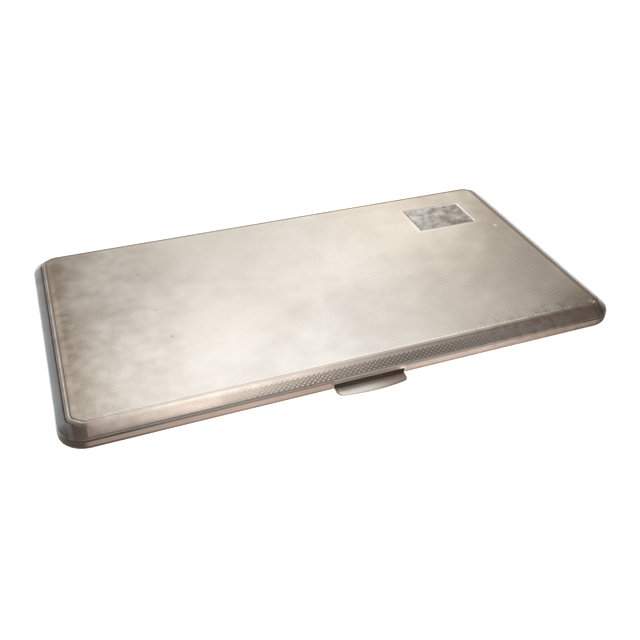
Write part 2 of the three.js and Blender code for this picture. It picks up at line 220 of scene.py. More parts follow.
# %% The finish
class Finish:
    """A material with one shader, built by expressions."""

    MIX_LOW, MIX_HIGH, MIX_COLOUR = 6, 7, 2  # where a Mix node takes two colours, and where it gives one

    def __init__(self, name, constants):
        self.material = bpy.data.materials.new(name)
        self.material.use_nodes = True
        self.tree = self.material.node_tree
        self.shader = self.tree.nodes["Principled BSDF"]
        for socket, value in constants.items():
            self.shader.inputs[socket].default_value = value

    def node(self, kind, settings=None, inputs=None, output=0):
        """Any node: its type, its settings, which are set first, and what its sockets take."""
        made = self.tree.nodes.new("ShaderNode" + kind)
        for setting, value in (settings or {}).items():
            setattr(made, setting, value)
        for socket, value in (inputs or {}).items():
            self.feed(made.inputs[socket], value)
        return Socket(self, made.outputs[output])

    def feed(self, socket, value):
        if isinstance(value, Socket):
            self.tree.links.new(value.link, socket)
        elif socket.type == "RGBA":
            socket.default_value = (*value, 1.0)
        else:
            socket.default_value = value

    def reckon(self, operation, *terms):
        kinds = [term.link.type for term in terms if isinstance(term, Socket)]
        if "RGBA" in kinds:
            return self.mix(1.0, *terms, operation)
        kind = "VectorMath" if "VECTOR" in kinds else "Math"
        return self.node(kind, {"operation": operation}, dict(enumerate(terms)))

    def mix(self, mask, low, high, blend_type="MIX"):
        """The colour low where the mask is 0, and high where it is 1."""
        settings = {"data_type": "RGBA", "blend_type": blend_type, "clamp_factor": True}
        inputs = {0: mask, self.MIX_LOW: low, self.MIX_HIGH: high}
        return self.node("Mix", settings, inputs, self.MIX_COLOUR)

    def fade(self, value, low, high):
        """From 0 at low to 1 at high, eased at both ends."""
        inputs = {"Value": value, "From Min": low, "From Max": high}
        return self.node("MapRange", {"interpolation_type": "SMOOTHSTEP"}, inputs)

    def where(self):
        """The point on the piece in metres, which stays with it when it moves."""
        return self.node("TexCoord", output="Object")

    def axis(self, place, name):
        """How far a point is along X, Y or Z, in millimetres."""
        return self.node("SeparateXYZ", None, {0: place}, name) * (1 / MM)

    def zone(self, axes, fades):
        """A mask that fades in along one axis or several, each from none to full."""
        return math.prod(self.fade(axes[name], none, full) for name, none, full in fades)

    def noise(self, place, scale, detail):
        return self.node("TexNoise", None, {"Vector": place, "Scale": scale, "Detail": detail})

    def streaks(self, place, scale, turn, detail):
        """Noise that is drawn out by a scale for each axis, after a turn about Z in degrees."""
        inputs = {"Vector": place, "Rotation": (0.0, 0.0, math.radians(turn)), "Scale": scale}
        return self.noise(self.node("Mapping", None, inputs), 1.0, detail)

    def painted(self, name):
        """A value stored on the points of the mesh."""
        return self.node("Attribute", {"attribute_name": name}, output="Fac")

    def bump(self, height, strength, depth=0.03 * MM):
        """The normal of a surface that rises and falls by a depth."""
        return self.node("Bump", None, {"Strength": strength, "Distance": depth, "Height": height})

    def paint(self, sockets):
        for socket, value in sockets.items():
            self.feed(self.shader.inputs[socket], value)
        print(f"finish {self.material.name}: {len(self.tree.nodes)} nodes")
        return self.material


# %% [markdown]
# ## Old silver
# Silver that was carried for years is bright where pockets and thumbs rub it. Elsewhere it tarnishes:
# first a thin yellow film, then brown, and nearly black where nothing gets in to wipe it; on the shells
# painted shade is added to that in creases and corners. Hair scratches run every way across it, and
# here and there it was knocked; two small bright spots are painted glints. Each of these is a mask made
# from noise or from a distance, because a mask has no seams and can be used again for every piece of silver.

# %% Tarnish, scratches, knocks and painted glints
BRIGHT_SILVER = (0.92, 0.875, 0.81)
YELLOW_FILM = (0.905, 0.82, 0.70)  # the first thin tarnish, before it turns brown
BLUISH_REFLECTION = (0.82, 0.84, 0.835)  # painted bluish reflection, on the slopes at the ends
BROWN_TARNISH = (0.42, 0.32, 0.262)
OLIVE_TARNISH = (0.41, 0.33, 0.244)  # on the flats
DEEP_TARNISH = (0.075, 0.058, 0.045)
# pocket dust, which also serves as painted shade in the thumb's notch
POCKET_DUST_AND_SHADE = (0.40, 0.32, 0.245)
HAIR_SCRATCHES = ((18.0, 1500.0), (-52.0, 1900.0), (74.0, 1300.0))  # direction in degrees, and fineness
MARK_EDGE = 0.3  # how far out a mark is at its deepest, as a share of its radius


def scratches(finish, place):
    """Hair scratches in several directions, as a mask."""
    return sum(finish.fade(finish.streaks(place, (30.0, fineness, 30.0), turn, 2.0), 0.66, 0.74)
               for turn, fineness in HAIR_SCRATCHES)


def tarnish(finish, place):
    """How brown the silver is, from clouds of two sizes."""
    broad = finish.noise(place, 22.0, 4.0)
    small = finish.noise(place, 140.0, 5.0)
    return finish.fade(broad * 0.65 + small * 0.35, 0.38, 0.66)


def marks_and_glints(finish, place, spots):
    """Small marks on the lid, pits and painted glints, each given by its X, Y and radius in millimetres, as a
    mask.
    """
    masks = []
    for x, y, radius in spots:
        middle = {0: place, 1: (x * MM, y * MM, lid_high.z)}
        away = finish.node("VectorMath", {"operation": "DISTANCE"}, middle, "Value")
        masks.append(finish.fade(away, radius * MM, radius * MM * MARK_EDGE))
    return sum(masks)


# %% [markdown]
# ## The silver of the shells
# On the shells the tarnish depends on the place. Two values are stored on their points for this: relief,
# which is 0 at the bottom of a cut, and a value for tarnish and painted shade, which is 1 where nothing
# rubs and also holds painted shade under the crease, at the foot of the bead and in the corners, and
# painted light on the rim over the thumb piece. Broad zones give the rest: both ends are browner than the
# middle, a haze lies to the left of it, and the front right corner is grimed. The left bead gets a painted
# highlight, the slopes at the ends a painted bluish reflection, and two spots are painted glints. A zone is
# a product of fades along X and Y, so a table holds them all, and moving a stain means changing a line of it.

# %% Zones of tarnish
TARNISH_ZONES = {  # the axis, where it starts and where it is full, in mm
    "left": [("X", -30, -78)],
    "left_edge": [("X", -60, -73.5), ("X", -74.2, -72.4)],
    "left_back": [("Y", -38, -5)],
    "left_front": [("Y", 40, 0)],
    "left_bead_highlight": [("X", -73.6, -73.1), ("X", -72.0, -72.5)],
    "left_slope_reflection": [("X", -73.6, -74.2)],
    "haze": [("X", 15, -20), ("X", -62, -40), ("Y", -28, 4)],
    "right": [("X", 30, 78), ("X", 72.7, 72.2)],
    "right_line": [("X", 70.8, 71.4), ("X", 72.6, 72.1)],  # the groove beside the bead
    "right_slope_reflection": [("X", 72.2, 72.6)],
    "back_right": [("X", 40, 74), ("Y", -10, 34), ("X", 72.7, 72.2)],
    "front_right": [("X", 15, 65), ("Y", -30, -37.5)],
    "front_corner": [("X", 55, 73), ("Y", -18, -36)],
    "front_flat": [("Y", -39.5, -37.8)],
    "front_rim": [("Y", -39.9, -40.4)],
    "yellow_right": [("X", 0, 45)],
    "yellow_left": [("X", -52, -70)],
    "yellow_back": [("Y", 0, 38)],
    "crisp_flat": [("X", -10, 55), ("Y", 33, -15)],  # where the dirt in the cuts shows
    "crisp_band": [("X", -55, 10), ("X", 70, 10)],
    "crisp_back": [("Y", -30, 20)],
}
BROWN_SHARES = {  # how brown a zone is, or how much brighter; the left bead's share is a painted highlight, the right slope's part of a painted reflection
    "left": 0.22, "left_bead_highlight": -0.6, "haze": 0.18, "right": 0.15, "right_line": 0.5,
    "right_slope_reflection": -0.5, "back_right": 0.36, "front_corner": 0.38,
}
PITS = ((-47.5, 19.6, 0.35), (-46.1, 0.8, 0.25), (-44.2, -12.2, 0.3), (-58.3, 11.0, 0.2))
# painted glints: small spots near the right end made cleaner, so that they look lit
PAINTED_GLINT_SPOTS = ((67.2, 11.0, 0.9), (70.9, -36.2, 0.8))
print(len(TARNISH_ZONES), "zones,", len(PITS), "pits and", len(PAINTED_GLINT_SPOTS), "painted_glints")


# %% Turned silver
def turned_silver():
    """The shells outside: bright tops, dark cuts and brown ends, with painted shade, highlights and glints.
    """
    finish = Finish("turned_silver", {"Metallic": 1.0})
    place = finish.where()
    axes = {name: finish.axis(place, name) for name in "XY"}
    zone = {name: finish.zone(axes, fades) for name, fades in TARNISH_ZONES.items()}
    left, right = zone["left"], zone["right"]
    cuts = finish.fade(finish.painted("relief"), 0.85, 0.15)
    # tarnish, with painted shade under the crease, at the bead's foot and in the corners, and painted light
    # on the rim over the thumb piece
    tarnish_and_shade = finish.painted("tarnish_and_shade")
    on_flat = finish.fade(tarnish_and_shade, 0.10, 0.05)
    clouds = tarnish(finish, place)
    patches = finish.fade(finish.noise(place, 330.0, 8.0), 0.30, 0.70)
    specks = finish.fade(finish.noise(place, 420.0, 5.0), 0.42, 0.66)

    grimed = zone["front_right"] * ((zone["front_flat"] + zone["front_rim"]) * 0.7 + 0.3)
    grime = grimed * (specks * 0.3 + 0.1) + marks_and_glints(finish, place, PITS)
    left_edge = zone["left_edge"] * (zone["left_back"] * 0.4 + zone["left_front"] * 0.6)
    # among the shares, the left bead's is a painted highlight and the right slope's part of a painted
    # reflection
    brown = sum(zone[name] * share for name, share in BROWN_SHARES.items())
    brown = brown + clouds * (left * 0.38 + right * 0.30 + 0.06) + (patches - 0.5) * (left * 0.24 + 0.04)
    brown = brown + left_edge * (clouds * 0.25 + 0.55) + tarnish_and_shade * 1.5 + grime
    # painted glints: two small spots taken off the brown
    brown = brown - marks_and_glints(finish, place, PAINTED_GLINT_SPOTS) * 1.2

    film = zone["yellow_right"] + zone["yellow_left"] * 0.8 + zone["yellow_back"] * 0.4
    clean = finish.mix(on_flat * film, BRIGHT_SILVER, YELLOW_FILM)
    # painted bluish reflection on the slopes at the ends
    clean = finish.mix(zone["left_slope_reflection"] + zone["right_slope_reflection"], clean, BLUISH_REFLECTION)
    worn = finish.mix(brown, clean, finish.mix(on_flat, BROWN_TARNISH, OLIVE_TARNISH))

    crisp = zone["crisp_band"] * tarnish_and_shade * 1.8 + zone["crisp_flat"] * on_flat * 0.30
    crisp = crisp + left * (zone["crisp_back"] * 0.20 + 0.08) + 0.03
    # deep tarnish where nothing rubs, with painted shade under the crease, at the bead's foot and in the
    # corners
    deep = finish.fade(tarnish_and_shade, 0.60, 1.30) + (left + right) * tarnish_and_shade * 0.45 + grime * 0.6
    deep = deep + zone["front_corner"] * 0.1 + zone["right_line"] * 0.2 + cuts * crisp
    hair = scratches(finish, place)
    height = clouds * 0.3 + finish.noise(place, 1800.0, 2.0) * 0.4 - hair * 0.5
    return finish.paint({
        "Base Color": finish.mix(deep, worn, DEEP_TARNISH),
        "Roughness": clouds * 0.10 + hair * 0.05 + deep * 0.15 + 0.30,
        "Normal": finish.bump(height, 0.05),
    })


TURNED_SILVER = turned_silver()

# %% [markdown]
# ## Rubbed silver and plain silver
# The thumb piece is rubbed most of all, so it is smooth and even, with a painted highlight at its nose,
# and pocket dust with painted shade only where it goes into its notch. The hinge and the cartouche are the
# same silver as the shells without the turning. Dust is no metal, so the mask that lays down the dust and
# shade also takes the metallic shine away.

# %% The thumb's silver and the plain one
def thumbed_silver():
    """The thumb piece: a painted highlight at the nose on the left, browner to the right, dust and painted
    shade in its notch.
    """
    finish = Finish("thumbed_silver", {})
    place = finish.where()
    along = finish.axis(place, "Y")
    notch, nose = base_low.y / MM, thumb_low.y / MM
    # pocket dust and painted shade where the thumb piece goes into its notch
    dust_and_shade = finish.fade(along, notch - 0.1, notch + 0.3)
    browner_to_right = finish.fade(finish.axis(place, "X"), thumb_low.x / 2 / MM, thumb_high.x / MM)
    # painted highlight at the nose, taken off the brown below
    bright = finish.fade(along, nose + 2.4, nose + 1.6)
    clouds = tarnish(finish, place)
    hair = scratches(finish, place)
    brown = clouds * 0.25 + browner_to_right * 0.45 + (1 - browner_to_right) * (0.25 - bright * 0.60) + 0.35
    rubbed = finish.mix(brown, BRIGHT_SILVER, BROWN_TARNISH)
    return finish.paint({
        "Base Color": finish.mix(dust_and_shade, rubbed, POCKET_DUST_AND_SHADE),
        "Metallic": 1 - dust_and_shade,
        "Roughness": clouds * 0.08 + hair * 0.04 + 0.38,
        "Normal": finish.bump(hair, 0.03),
    })


def plain_silver():
    """The hinge and the cartouche: clouded, spotted and scratched."""
    finish = Finish("plain_silver", {"Metallic": 1.0})
    place = finish.where()
    clouds = tarnish(finish, place)
    spots = finish.fade(finish.noise(place, 420.0, 4.0), 0.52, 0.70)
    hair = scratches(finish, place)
    return finish.paint({
        "Base Color": finish.mix(clouds * 0.45 + spots * 0.30, BRIGHT_SILVER, BROWN_TARNISH),
        "Roughness": clouds * 0.12 + hair * 0.06 + spots * 0.08 + 0.24,
        "Normal": finish.bump(spots * 0.5 - hair * 0.6, 0.1),
    })


THUMBED_SILVER = thumbed_silver()
PLAIN_SILVER = plain_silver()

# %% [markdown]
# ## Gilding, steel and elastic
# The inside was gilded so that tobacco would not mark the silver, and wiping has worn the gold thin in
# patches where silver shows. The spring, the pin and the rivets are drawn steel with lengthwise lines.
# The strap is woven: ribs run along it as real geometry, and finer threads cross them as bump.

# %% The other finishes
GOLD = (0.83, 0.60, 0.27)
THIN_GOLD = (0.80, 0.66, 0.42)
STEEL = (0.50, 0.49, 0.47)
STEEL_DARK = (0.27, 0.25, 0.23)
ECRU = (0.62, 0.50, 0.33)
ECRU_SOILED = (0.40, 0.30, 0.18)
THREAD_DEPTH = 0.06 * MM


def gilding():
    finish = Finish("gilding", {"Metallic": 1.0})
    place = finish.where()
    thin = finish.fade(finish.noise(place, 38.0, 5.0), 0.45, 0.75)
    wiped = finish.streaks(place, (60.0, 1400.0, 60.0), 8.0, 3.0)
    return finish.paint({
        "Base Color": finish.mix(thin, GOLD, THIN_GOLD),
        "Roughness": thin * 0.12 + wiped * 0.12 + 0.24,
        "Normal": finish.bump(wiped, 0.12),
    })


def dusty_shaded_gilding():
    """The slide of the catch: dark below the seam with pocket dust and painted shade, where the notch lets it
    in.
    """
    finish = Finish("dusty_shaded_gilding", {})
    place = finish.where()
    # pocket dust and painted shade below the seam, where the slide sits in the notch
    dust = finish.noise(place, 700.0, 4.0) * 0.35 + finish.axis(place, "Z")
    clean = finish.fade(dust, seam / MM + 0.1, seam / MM + 0.6)
    return finish.paint({
        "Base Color": finish.mix(clean, POCKET_DUST_AND_SHADE, GOLD),
        "Metallic": clean,
        "Roughness": 0.75 - clean * 0.40,
    })


def drawn_steel():
    finish = Finish("drawn_steel", {"Metallic": 1.0})
    place = finish.where()
    lines = finish.streaks(place, (40.0, 3000.0, 3000.0), 0.0, 3.0)
    spots = finish.fade(finish.noise(place, 600.0, 4.0), 0.5, 0.75)
    return finish.paint({
        "Base Color": finish.mix(spots * 0.7 + lines * 0.2, STEEL, STEEL_DARK),
        "Roughness": lines * 0.15 + spots * 0.2 + 0.22,
        "Normal": finish.bump(lines, 0.15),
    })


def woven_elastic():
    finish = Finish("woven_elastic", {"Sheen Weight": 0.3, "Specular IOR Level": 0.25})
    place = finish.where()
    soil = finish.fade(finish.noise(place, 90.0, 5.0), 0.4, 0.72)
    threads = {"wave_type": "BANDS", "bands_direction": "X"}
    weft = finish.node("TexWave", threads, {"Vector": place, "Scale": 640.0, "Distortion": 0.8}, "Fac")
    fibre = finish.noise(place, 5200.0, 2.0)
    return finish.paint({
        "Base Color": finish.mix(soil * 0.6 + (1 - weft) * 0.25, ECRU, ECRU_SOILED),
        "Roughness": fibre * 0.15 + 0.78,
        "Normal": finish.bump(weft + fibre * 0.5, 0.5, THREAD_DEPTH),
    })


GILDING = gilding()
DUSTY_SHADED_GILDING = dusty_shaded_gilding()
DRAWN_STEEL = drawn_steel()
WOVEN_ELASTIC = woven_elastic()

# %% [markdown]
# ## The wall of a shell
# Each half was pressed from one sheet. Its section climbs from the seam up a short upright rim, over a
# rounded crease, up a slightly swelling bevel, and over a bead to the groove round the flat. Each of
# these is a zone, and a table says how tarnished a zone is along the front, at the ends and along the
# back, and what a corner and the front right add to that. The table also holds painted shade: under the
# crease, at the foot of the bead at the ends, where dirt lies too, and in the corners. Wear shows in the
# shape too, so the cuts have shares that are left of them.

# %% Sizes and shelter of the wall
LOZENGE_LONG = 1.37 * MM
LOZENGE_SHORT = 0.93 * MM
BAND_ROWS = 2  # rows of lozenges on the long bevels
BAND_FOOT = 0.16  # where the band starts and ends, as a share of the bevel
BAND_HEAD = 0.80
BAND_CUT = 0.05 * MM
WORN_FROM = -16 * MM  # the turning is worn down to the left of this, and least is left from the next on
WORN_TO = -48 * MM
BAND_LEFT = 0.1  # the share of the cut that is left there, on the band and on the flat
FLAT_LEFT = 0.65
FILLED_FROM = (30 * MM, -15 * MM)  # dirt fills the turning of the flat towards the back right corner
FILLED_TO = (62 * MM, 25 * MM)
FILLED = 0.55  # the share of the cut that it takes up there
BEAD_FOOT = 0.96  # where the dirt and painted shade at the foot of the bead start, as a share of the bevel
END_GROOVE = 0.7  # the share of the groove that wear has left at the ends, and along the sides
SIDE_GROOVE = 0.5
ROUND_STEPS = 6
# Besides tarnish, the under row and the corner column hold painted shade, and the foot at the ends is dirt
# with painted shade.
TARNISH_AND_SHADE = {  # at the front, the ends and the back, added in a corner, and added towards the front right
    "inside": (0.0, 0.0, 0.0, 0.0, 0.0), "lip": (0.58, 0.56, 0.56, 0.45, -0.12),
    "rim": (0.58, 0.56, 0.56, 0.55, -0.12), "under": (0.95, 0.70, 0.80, 0.2, -0.12),
    "crease": (0.20, -0.2, 0.2, 0.46, 0.12), "bevel": (0.22, -0.26, 0.2, 0.50, 0.12),
    "foot": (0.16, 0.95, 0.2, -0.3, 0.22), "bead": (0.05, 0.07, 0.65, -0.20, 0.48),
    "groove": (0.10, 0.66, 0.6, -0.3, 0.45), "flat": (0.04, 0.04, 0.04, 0.0, 0.0),
}
THUMBED = {"lip": -0.34, "rim": -0.34, "under": -0.2}  # painted light: less tarnish on the rim over the thumb piece, so that it looks lit
RIM_LIGHT_ALONG_FRONT = (  # how much of that is added along the front, by X in mm
    (-70, -0.6), (-50, -0.1), (-30, 0), (-15, -0.45), (-9.8, -0.45), (-9.5, 1), (9.5, 1), (9.8, 0),
    (48, 0), (69, -0.5))
BACK_CORNER = 0.4  # the back corners get less of the painted corner shade than the front ones
RIGHT_FROM = -40 * MM  # where the front starts to be rubbed less, and where least
RIGHT_TO = 15 * MM
bevel_rise = half_height - BEAD_STEP - RIM_HEIGHT
bevel_angle = math.atan2(bevel_rise, BEVEL_WIDTH)
bevel_length = BEVEL_WIDTH / math.cos(bevel_angle)
flat_inset = BEVEL_WIDTH + BEAD_WIDTH + GROOVE_SLOPE


def cut_left(x, least):
    """The share of a cut that wear has left at a place along the case."""
    return np.clip((x - WORN_TO) / (WORN_FROM - WORN_TO), least, 1)


def cut_open(x, y):
    """The share of the flat's cut that dirt has left open at a place."""
    shares = [np.clip((at - start) / (end - start), 0, 1)
              for at, start, end in zip((x, y), FILLED_FROM, FILLED_TO)]
    return 1 - FILLED * shares[0] * shares[1]


print(f"bevel at {math.degrees(bevel_angle):.0f} degrees, flat {flat_inset / MM:.2f} mm inside the rim")

# %% [markdown]
# ## The section
# The section is a list of points, each an inset from the outline and a rise from the seam, with the zone
# that it belongs to. Along the sides the bead is worn down to a soft ridge, and at the ends and corners
# it is still full. So there are two sections with the same number of points, and the wall can go from
# one to the other.

# %% The section
def up_bevel(share):
    """The point at a share of the way up the bevel."""
    swell = 4 * share * (1 - share) * BEVEL_CROWN
    inset = share * BEVEL_WIDTH - swell * math.sin(bevel_angle)
    rise = RIM_HEIGHT + share * bevel_rise + swell * math.cos(bevel_angle)
    return np.array([inset, rise])


def rounded(start, corner, end):
    """Points that round a corner, from start to end."""
    share = np.linspace(0, 1, ROUND_STEPS + 1)[:, None]
    start, corner, end = (np.array(point) for point in (start, corner, end))
    return (1 - share) ** 2 * start + 2 * share * (1 - share) * corner + share ** 2 * end


def bead_side(height, start, end):
    """One side of the bead, from an angle to another about its middle."""
    crest = BEVEL_WIDTH + BEAD_WIDTH / 2
    return [(crest + BEAD_WIDTH / 2 * math.cos(angle), half_height - height * (1 - math.sin(angle)))
            for angle in np.linspace(start, end, ROUND_STEPS + 1)]


def section(beaded):
    """The wall from the ceiling inside to the flat, as zones and points, with a full bead or a soft ridge."""
    sine, cosine, slope = math.sin(bevel_angle), math.cos(bevel_angle), math.tan(bevel_angle)
    ceiling = half_height - SHEET
    knee = RIM_HEIGHT + (SHEET - SHEET * sine) * slope - SHEET * cosine
    ceiling_inset = SHEET + (ceiling - knee) / slope
    soft = CREASE_ROUND / 2
    crease = rounded((0, RIM_HEIGHT - CREASE_ROUND), (0, RIM_HEIGHT), up_bevel(CREASE_ROUND / bevel_length))
    half_way = ROUND_STEPS // 2
    band = np.linspace(BAND_FOOT, BAND_HEAD, 2 * BAND_ROWS + 1)
    outside = bead_side(BEAD_STEP, math.pi, math.pi / 2)
    inside = bead_side(GROOVE_DEPTH * (END_GROOVE if beaded else SIDE_GROOVE), math.pi / 2, 0)
    if not beaded:
        ridge = (BEVEL_WIDTH + BEAD_STEP / slope, half_height)
        outside = list(rounded(outside[0], ridge, outside[-1]))
    parts = [
        ("inside", rounded((ceiling_inset + soft, ceiling), (ceiling_inset, ceiling),
                           (ceiling_inset - soft * cosine, ceiling - soft * sine))),
        ("inside", rounded((SHEET + soft * cosine, knee + soft * sine), (SHEET, knee),
                           (SHEET, knee - soft))),
        ("inside", [(SHEET, SEAM_GAP / 2 + LIP_CHAMFER)]),
        ("lip", [(SHEET - LIP_CHAMFER, SEAM_GAP / 2), (LIP_CHAMFER, SEAM_GAP / 2)]),
        ("rim", [(0, SEAM_GAP / 2 + LIP_CHAMFER), (0, (SEAM_GAP + RIM_HEIGHT) / 3)]),
        ("under", crease[:half_way]),
        ("crease", crease[half_way:]),
        ("bevel", [up_bevel(share) for share in band]),
        ("foot", [up_bevel(BEAD_FOOT)] + outside[:2]),
        ("bead", outside[2:] + inside[1:-5]),
        ("groove", inside[-5:]),
        ("flat", [(flat_inset, half_height)]),
    ]
    zones = [zone for zone, points in parts for _ in points]
    return zones, np.array([point for _, points in parts for point in points])


ZONES, END_SECTION = section(beaded=True)
SIDE_SECTION = section(beaded=False)[1]
print("section:", len(ZONES), "points,", 2 * BAND_ROWS + 1, "of them on the lozenge band")

# %% [markdown]
# ## Round the outline
# The outline is walked once, anticlockwise from the front left. On the long sides a station stands at
# every half lozenge, so that the band on the bevel can be cut without any further mesh work. The
# corners are round at the rim and turn into straight cants at the bead: each station there knows its
# direction on the round and on the cant, and the inset decides between them.

# %% The stations
CORNER_STEPS = 12
SIDE_STEPS = 12
COVE_END = 0.03 * MM  # thickness of the step at the ends of the cove

straight_x = half_length - CORNER_RADIUS
straight_y = half_depth - CORNER_RADIUS
column_count = round(straight_x / (LOZENGE_LONG / 2))
half_long = straight_x / column_count
half_short = LOZENGE_SHORT / 2
cove_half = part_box("hinge_pin")[1].x + BARREL_CLEARANCE
NO_COLUMN = column_count + 1


def corner_leg(inset):
    """How far a corner reaches along each side, at an inset."""
    turning = CORNER_RADIUS + (CORNER_CUT - CORNER_RADIUS) * inset / BEVEL_WIDTH
    canted = CORNER_CUT - (inset - BEVEL_WIDTH) * (2 - math.sqrt(2))
    return np.where(inset < BEVEL_WIDTH, turning, canted)


def walk():
    """Each station's centre, its way out, its directions on the round and the cant, its column and cove."""
    found = []
    columns = list(range(-column_count, column_count + 1))
    back = [(column * half_long, column) for column in columns]
    back += [(side * (cove_half + step), NO_COLUMN) for side in (-1, 1) for step in (0, COVE_END)]
    back.sort(reverse=True)
    upright = np.linspace(-straight_y, straight_y, SIDE_STEPS + 1)

    def straight(centre, direction, column=NO_COLUMN, coved=False):
        found.append((centre, direction, direction, direction, column, coved))

    def corner(x, y, start):
        first, last = ((math.cos(a), math.sin(a)) for a in (start, start + math.pi / 2))
        out = (math.copysign(1, x), math.copysign(1, y))
        for step in range(1, CORNER_STEPS):
            share = step / CORNER_STEPS
            angle = start + share * math.pi / 2
            cant = tuple((1 - share) * a + share * b for a, b in zip(first, last))
            found.append(((x, y), out, (math.cos(angle), math.sin(angle)), cant, NO_COLUMN, False))

    for column in columns:
        straight((column * half_long, -straight_y), (0, -1), column)
    corner(straight_x, -straight_y, -math.pi / 2)
    for y in upright:
        straight((straight_x, y), (1, 0))
    corner(straight_x, straight_y, 0)
    for x, column in back:
        straight((x, straight_y), (0, 1), column, abs(x) <= cove_half + COVE_END / 2)
    corner(-straight_x, straight_y, math.pi / 2)
    for y in upright[::-1]:
        straight((-straight_x, y), (-1, 0))
    corner(-straight_x, -straight_y, math.pi)
    return [np.array(values) for values in zip(*found)]


CENTRE, OUT, ROUND, CANT, COLUMN, COVED = walk()
print("stations:", len(CENTRE), "with half lozenges of", round(half_long / MM, 3), "mm")

# %% [markdown]
# ## The cove for the hinge
# Along the back the wall stops short of the barrel in a hollow that follows it, so the lid can turn
# right over. The part of the section that lies inside the barrel's room is laid along the edge of
# that room instead. This keeps the mesh a plain grid, where a cut would leave slivers.

# %% The coved section
MEETING_STEPS = 400  # how finely the edge of that room is looked for between two points


def coved(points):
    """The section at the back, with what the barrel needs laid along an arc."""
    radius = barrel_radius + BARREL_CLEARANCE
    depth = half_depth - points[:, 0] - hinge_y
    rise = points[:, 1]
    gone = np.flatnonzero(np.hypot(depth, rise) < radius)

    def meeting(kept, lost):
        shares = np.linspace(0, 1, MEETING_STEPS)
        away = np.hypot(depth[kept] + shares * (depth[lost] - depth[kept]),
                        rise[kept] + shares * (rise[lost] - rise[kept]))
        share = shares[np.argmax(away < radius)]
        return math.atan2(rise[kept] + share * (rise[lost] - rise[kept]),
                          depth[kept] + share * (depth[lost] - depth[kept]))

    angles = np.linspace(meeting(gone[0] - 1, gone[0]), meeting(gone[-1] + 1, gone[-1]), len(gone))
    laid = points.copy()
    laid[gone, 0] = half_depth - (hinge_y + radius * np.cos(angles))
    laid[gone, 1] = radius * np.sin(angles)
    return laid


COVED_SECTION = coved(SIDE_SECTION)
print("rows laid along the cove:", int(np.any(COVED_SECTION != SIDE_SECTION, axis=1).sum()))

# %% [markdown]
# ## The lozenge band
# A rose engine cut the long bevels with a band of lozenges. Points of the grid are pushed in at every
# second place, like the black squares of a board, and each square is split along its two low corners.
# The high corners then stand as the tops of small pyramids. To the left the band is nearly rubbed away,
# so the push grows from there to the right.

# %% The wall as a grid
def wall():
    """Points of the wall, row by row, with the relief, and the tarnish with its painted shade and light, at
    each.
    """
    side, end = ROUND[:, 1] ** 2, ROUND[:, 0] ** 2
    worn = (side ** 4)[None, :, None]
    points = worn * SIDE_SECTION[:, None, :] + (1 - worn) * END_SECTION[:, None, :]
    points = np.where(COVED[None, :, None], COVED_SECTION[:, None, :], points)
    relief = np.ones(points.shape[:2])
    band = [row for row, zone in enumerate(ZONES) if zone == "bevel"]
    depth = BAND_CUT * cut_left(CENTRE[:, :1], BAND_LEFT)
    for step, row in enumerate(band):
        low = (np.abs(COLUMN) < column_count) & ((COLUMN + step) % 2 == 1)
        points[row, low] += depth[low] * np.array([math.sin(bevel_angle), -math.cos(bevel_angle)])
        relief[row, low] = 0.0
    inset = points[:, :, :1]
    leg = corner_leg(inset)
    direction = ROUND + np.clip(inset / BEVEL_WIDTH, 0, 1) * (CANT - ROUND)
    plan = CENTRE + (CORNER_RADIUS - inset - leg) * OUT + leg * direction
    front, back = side * (ROUND[:, 1] < 0), side * (ROUND[:, 1] > 0)
    # painted shade in the corners, with painted light on the bead, its foot and its groove there
    corner = 2 * np.sqrt(side * end) * np.where(ROUND[:, 1] < 0, 1, BACK_CORNER)
    right = np.clip((CENTRE[:, 0] - RIGHT_FROM) / (RIGHT_TO - RIGHT_FROM), 0, 1) * front
    tarnish_and_shade = np.array([TARNISH_AND_SHADE[zone] for zone in ZONES]) @ np.stack([front, end, back, corner, right])
    # painted light on the rim over the thumb piece, and painted shade beside its left end and towards both
    # ends
    thumbed = front * np.interp(CENTRE[:, 0] / MM, *zip(*RIM_LIGHT_ALONG_FRONT))
    tarnish_and_shade += np.outer([THUMBED.get(zone, 0.0) for zone in ZONES], thumbed)
    return np.concatenate([plan, points[:, :, 1:]], axis=2), relief, tarnish_and_shade


def wall_faces():
    """Faces of the wall, with whether each is a facet of the band and whether it is inside."""
    faces, facet, inner = [], [], []
    count = len(CENTRE)
    band_start = ZONES.index("bevel")
    for row in range(len(ZONES) - 1):
        in_band = ZONES[row] == "bevel" and ZONES[row + 1] == "bevel"
        for column in range(count):
            after = (column + 1) % count
            a, b = row * count + column, row * count + after
            d, c = a + count, b + count
            turned = in_band and COLUMN[column] != NO_COLUMN and COLUMN[after] != NO_COLUMN
            low_first = (COLUMN[column] + row - band_start) % 2 == 1
            pair = [(a, b, c), (a, c, d)] if low_first else [(a, b, d), (b, c, d)]
            made = pair if turned else [(a, b, c, d)]
            faces += made
            facet += [turned] * len(made)
            inner += [ZONES[row] == "inside"] * len(made)
    return faces, facet, inner


WALL, WALL_RELIEF, WALL_TARNISH_AND_SHADE = wall()
print("wall points:", WALL.shape[0] * WALL.shape[1])

# %% [markdown]
# ## The engine-turned flat
# The flat is covered with the same lozenges, which stop in a toothed edge just inside the groove and
# round the cartouche. Whole half-cells that fit inside become pyramids, and the plain strip that is
# left between them and the groove is filled by a constrained triangulation. The cuts are worn shallower
# to the left, and dirt fills them towards the back right corner.

# %% The flat
FLAT_CUT = 0.03 * MM
FLAT_MARGIN = 0.08 * MM  # plain strip inside the groove
CARTOUCHE_MARGIN = 0.10 * MM  # plain strip round the cartouche
FLAT_TOP = half_height
ALL_TRIANGLES = 0  # what the triangulation is asked for
SAME_PLACE = 1e-9  # in metres


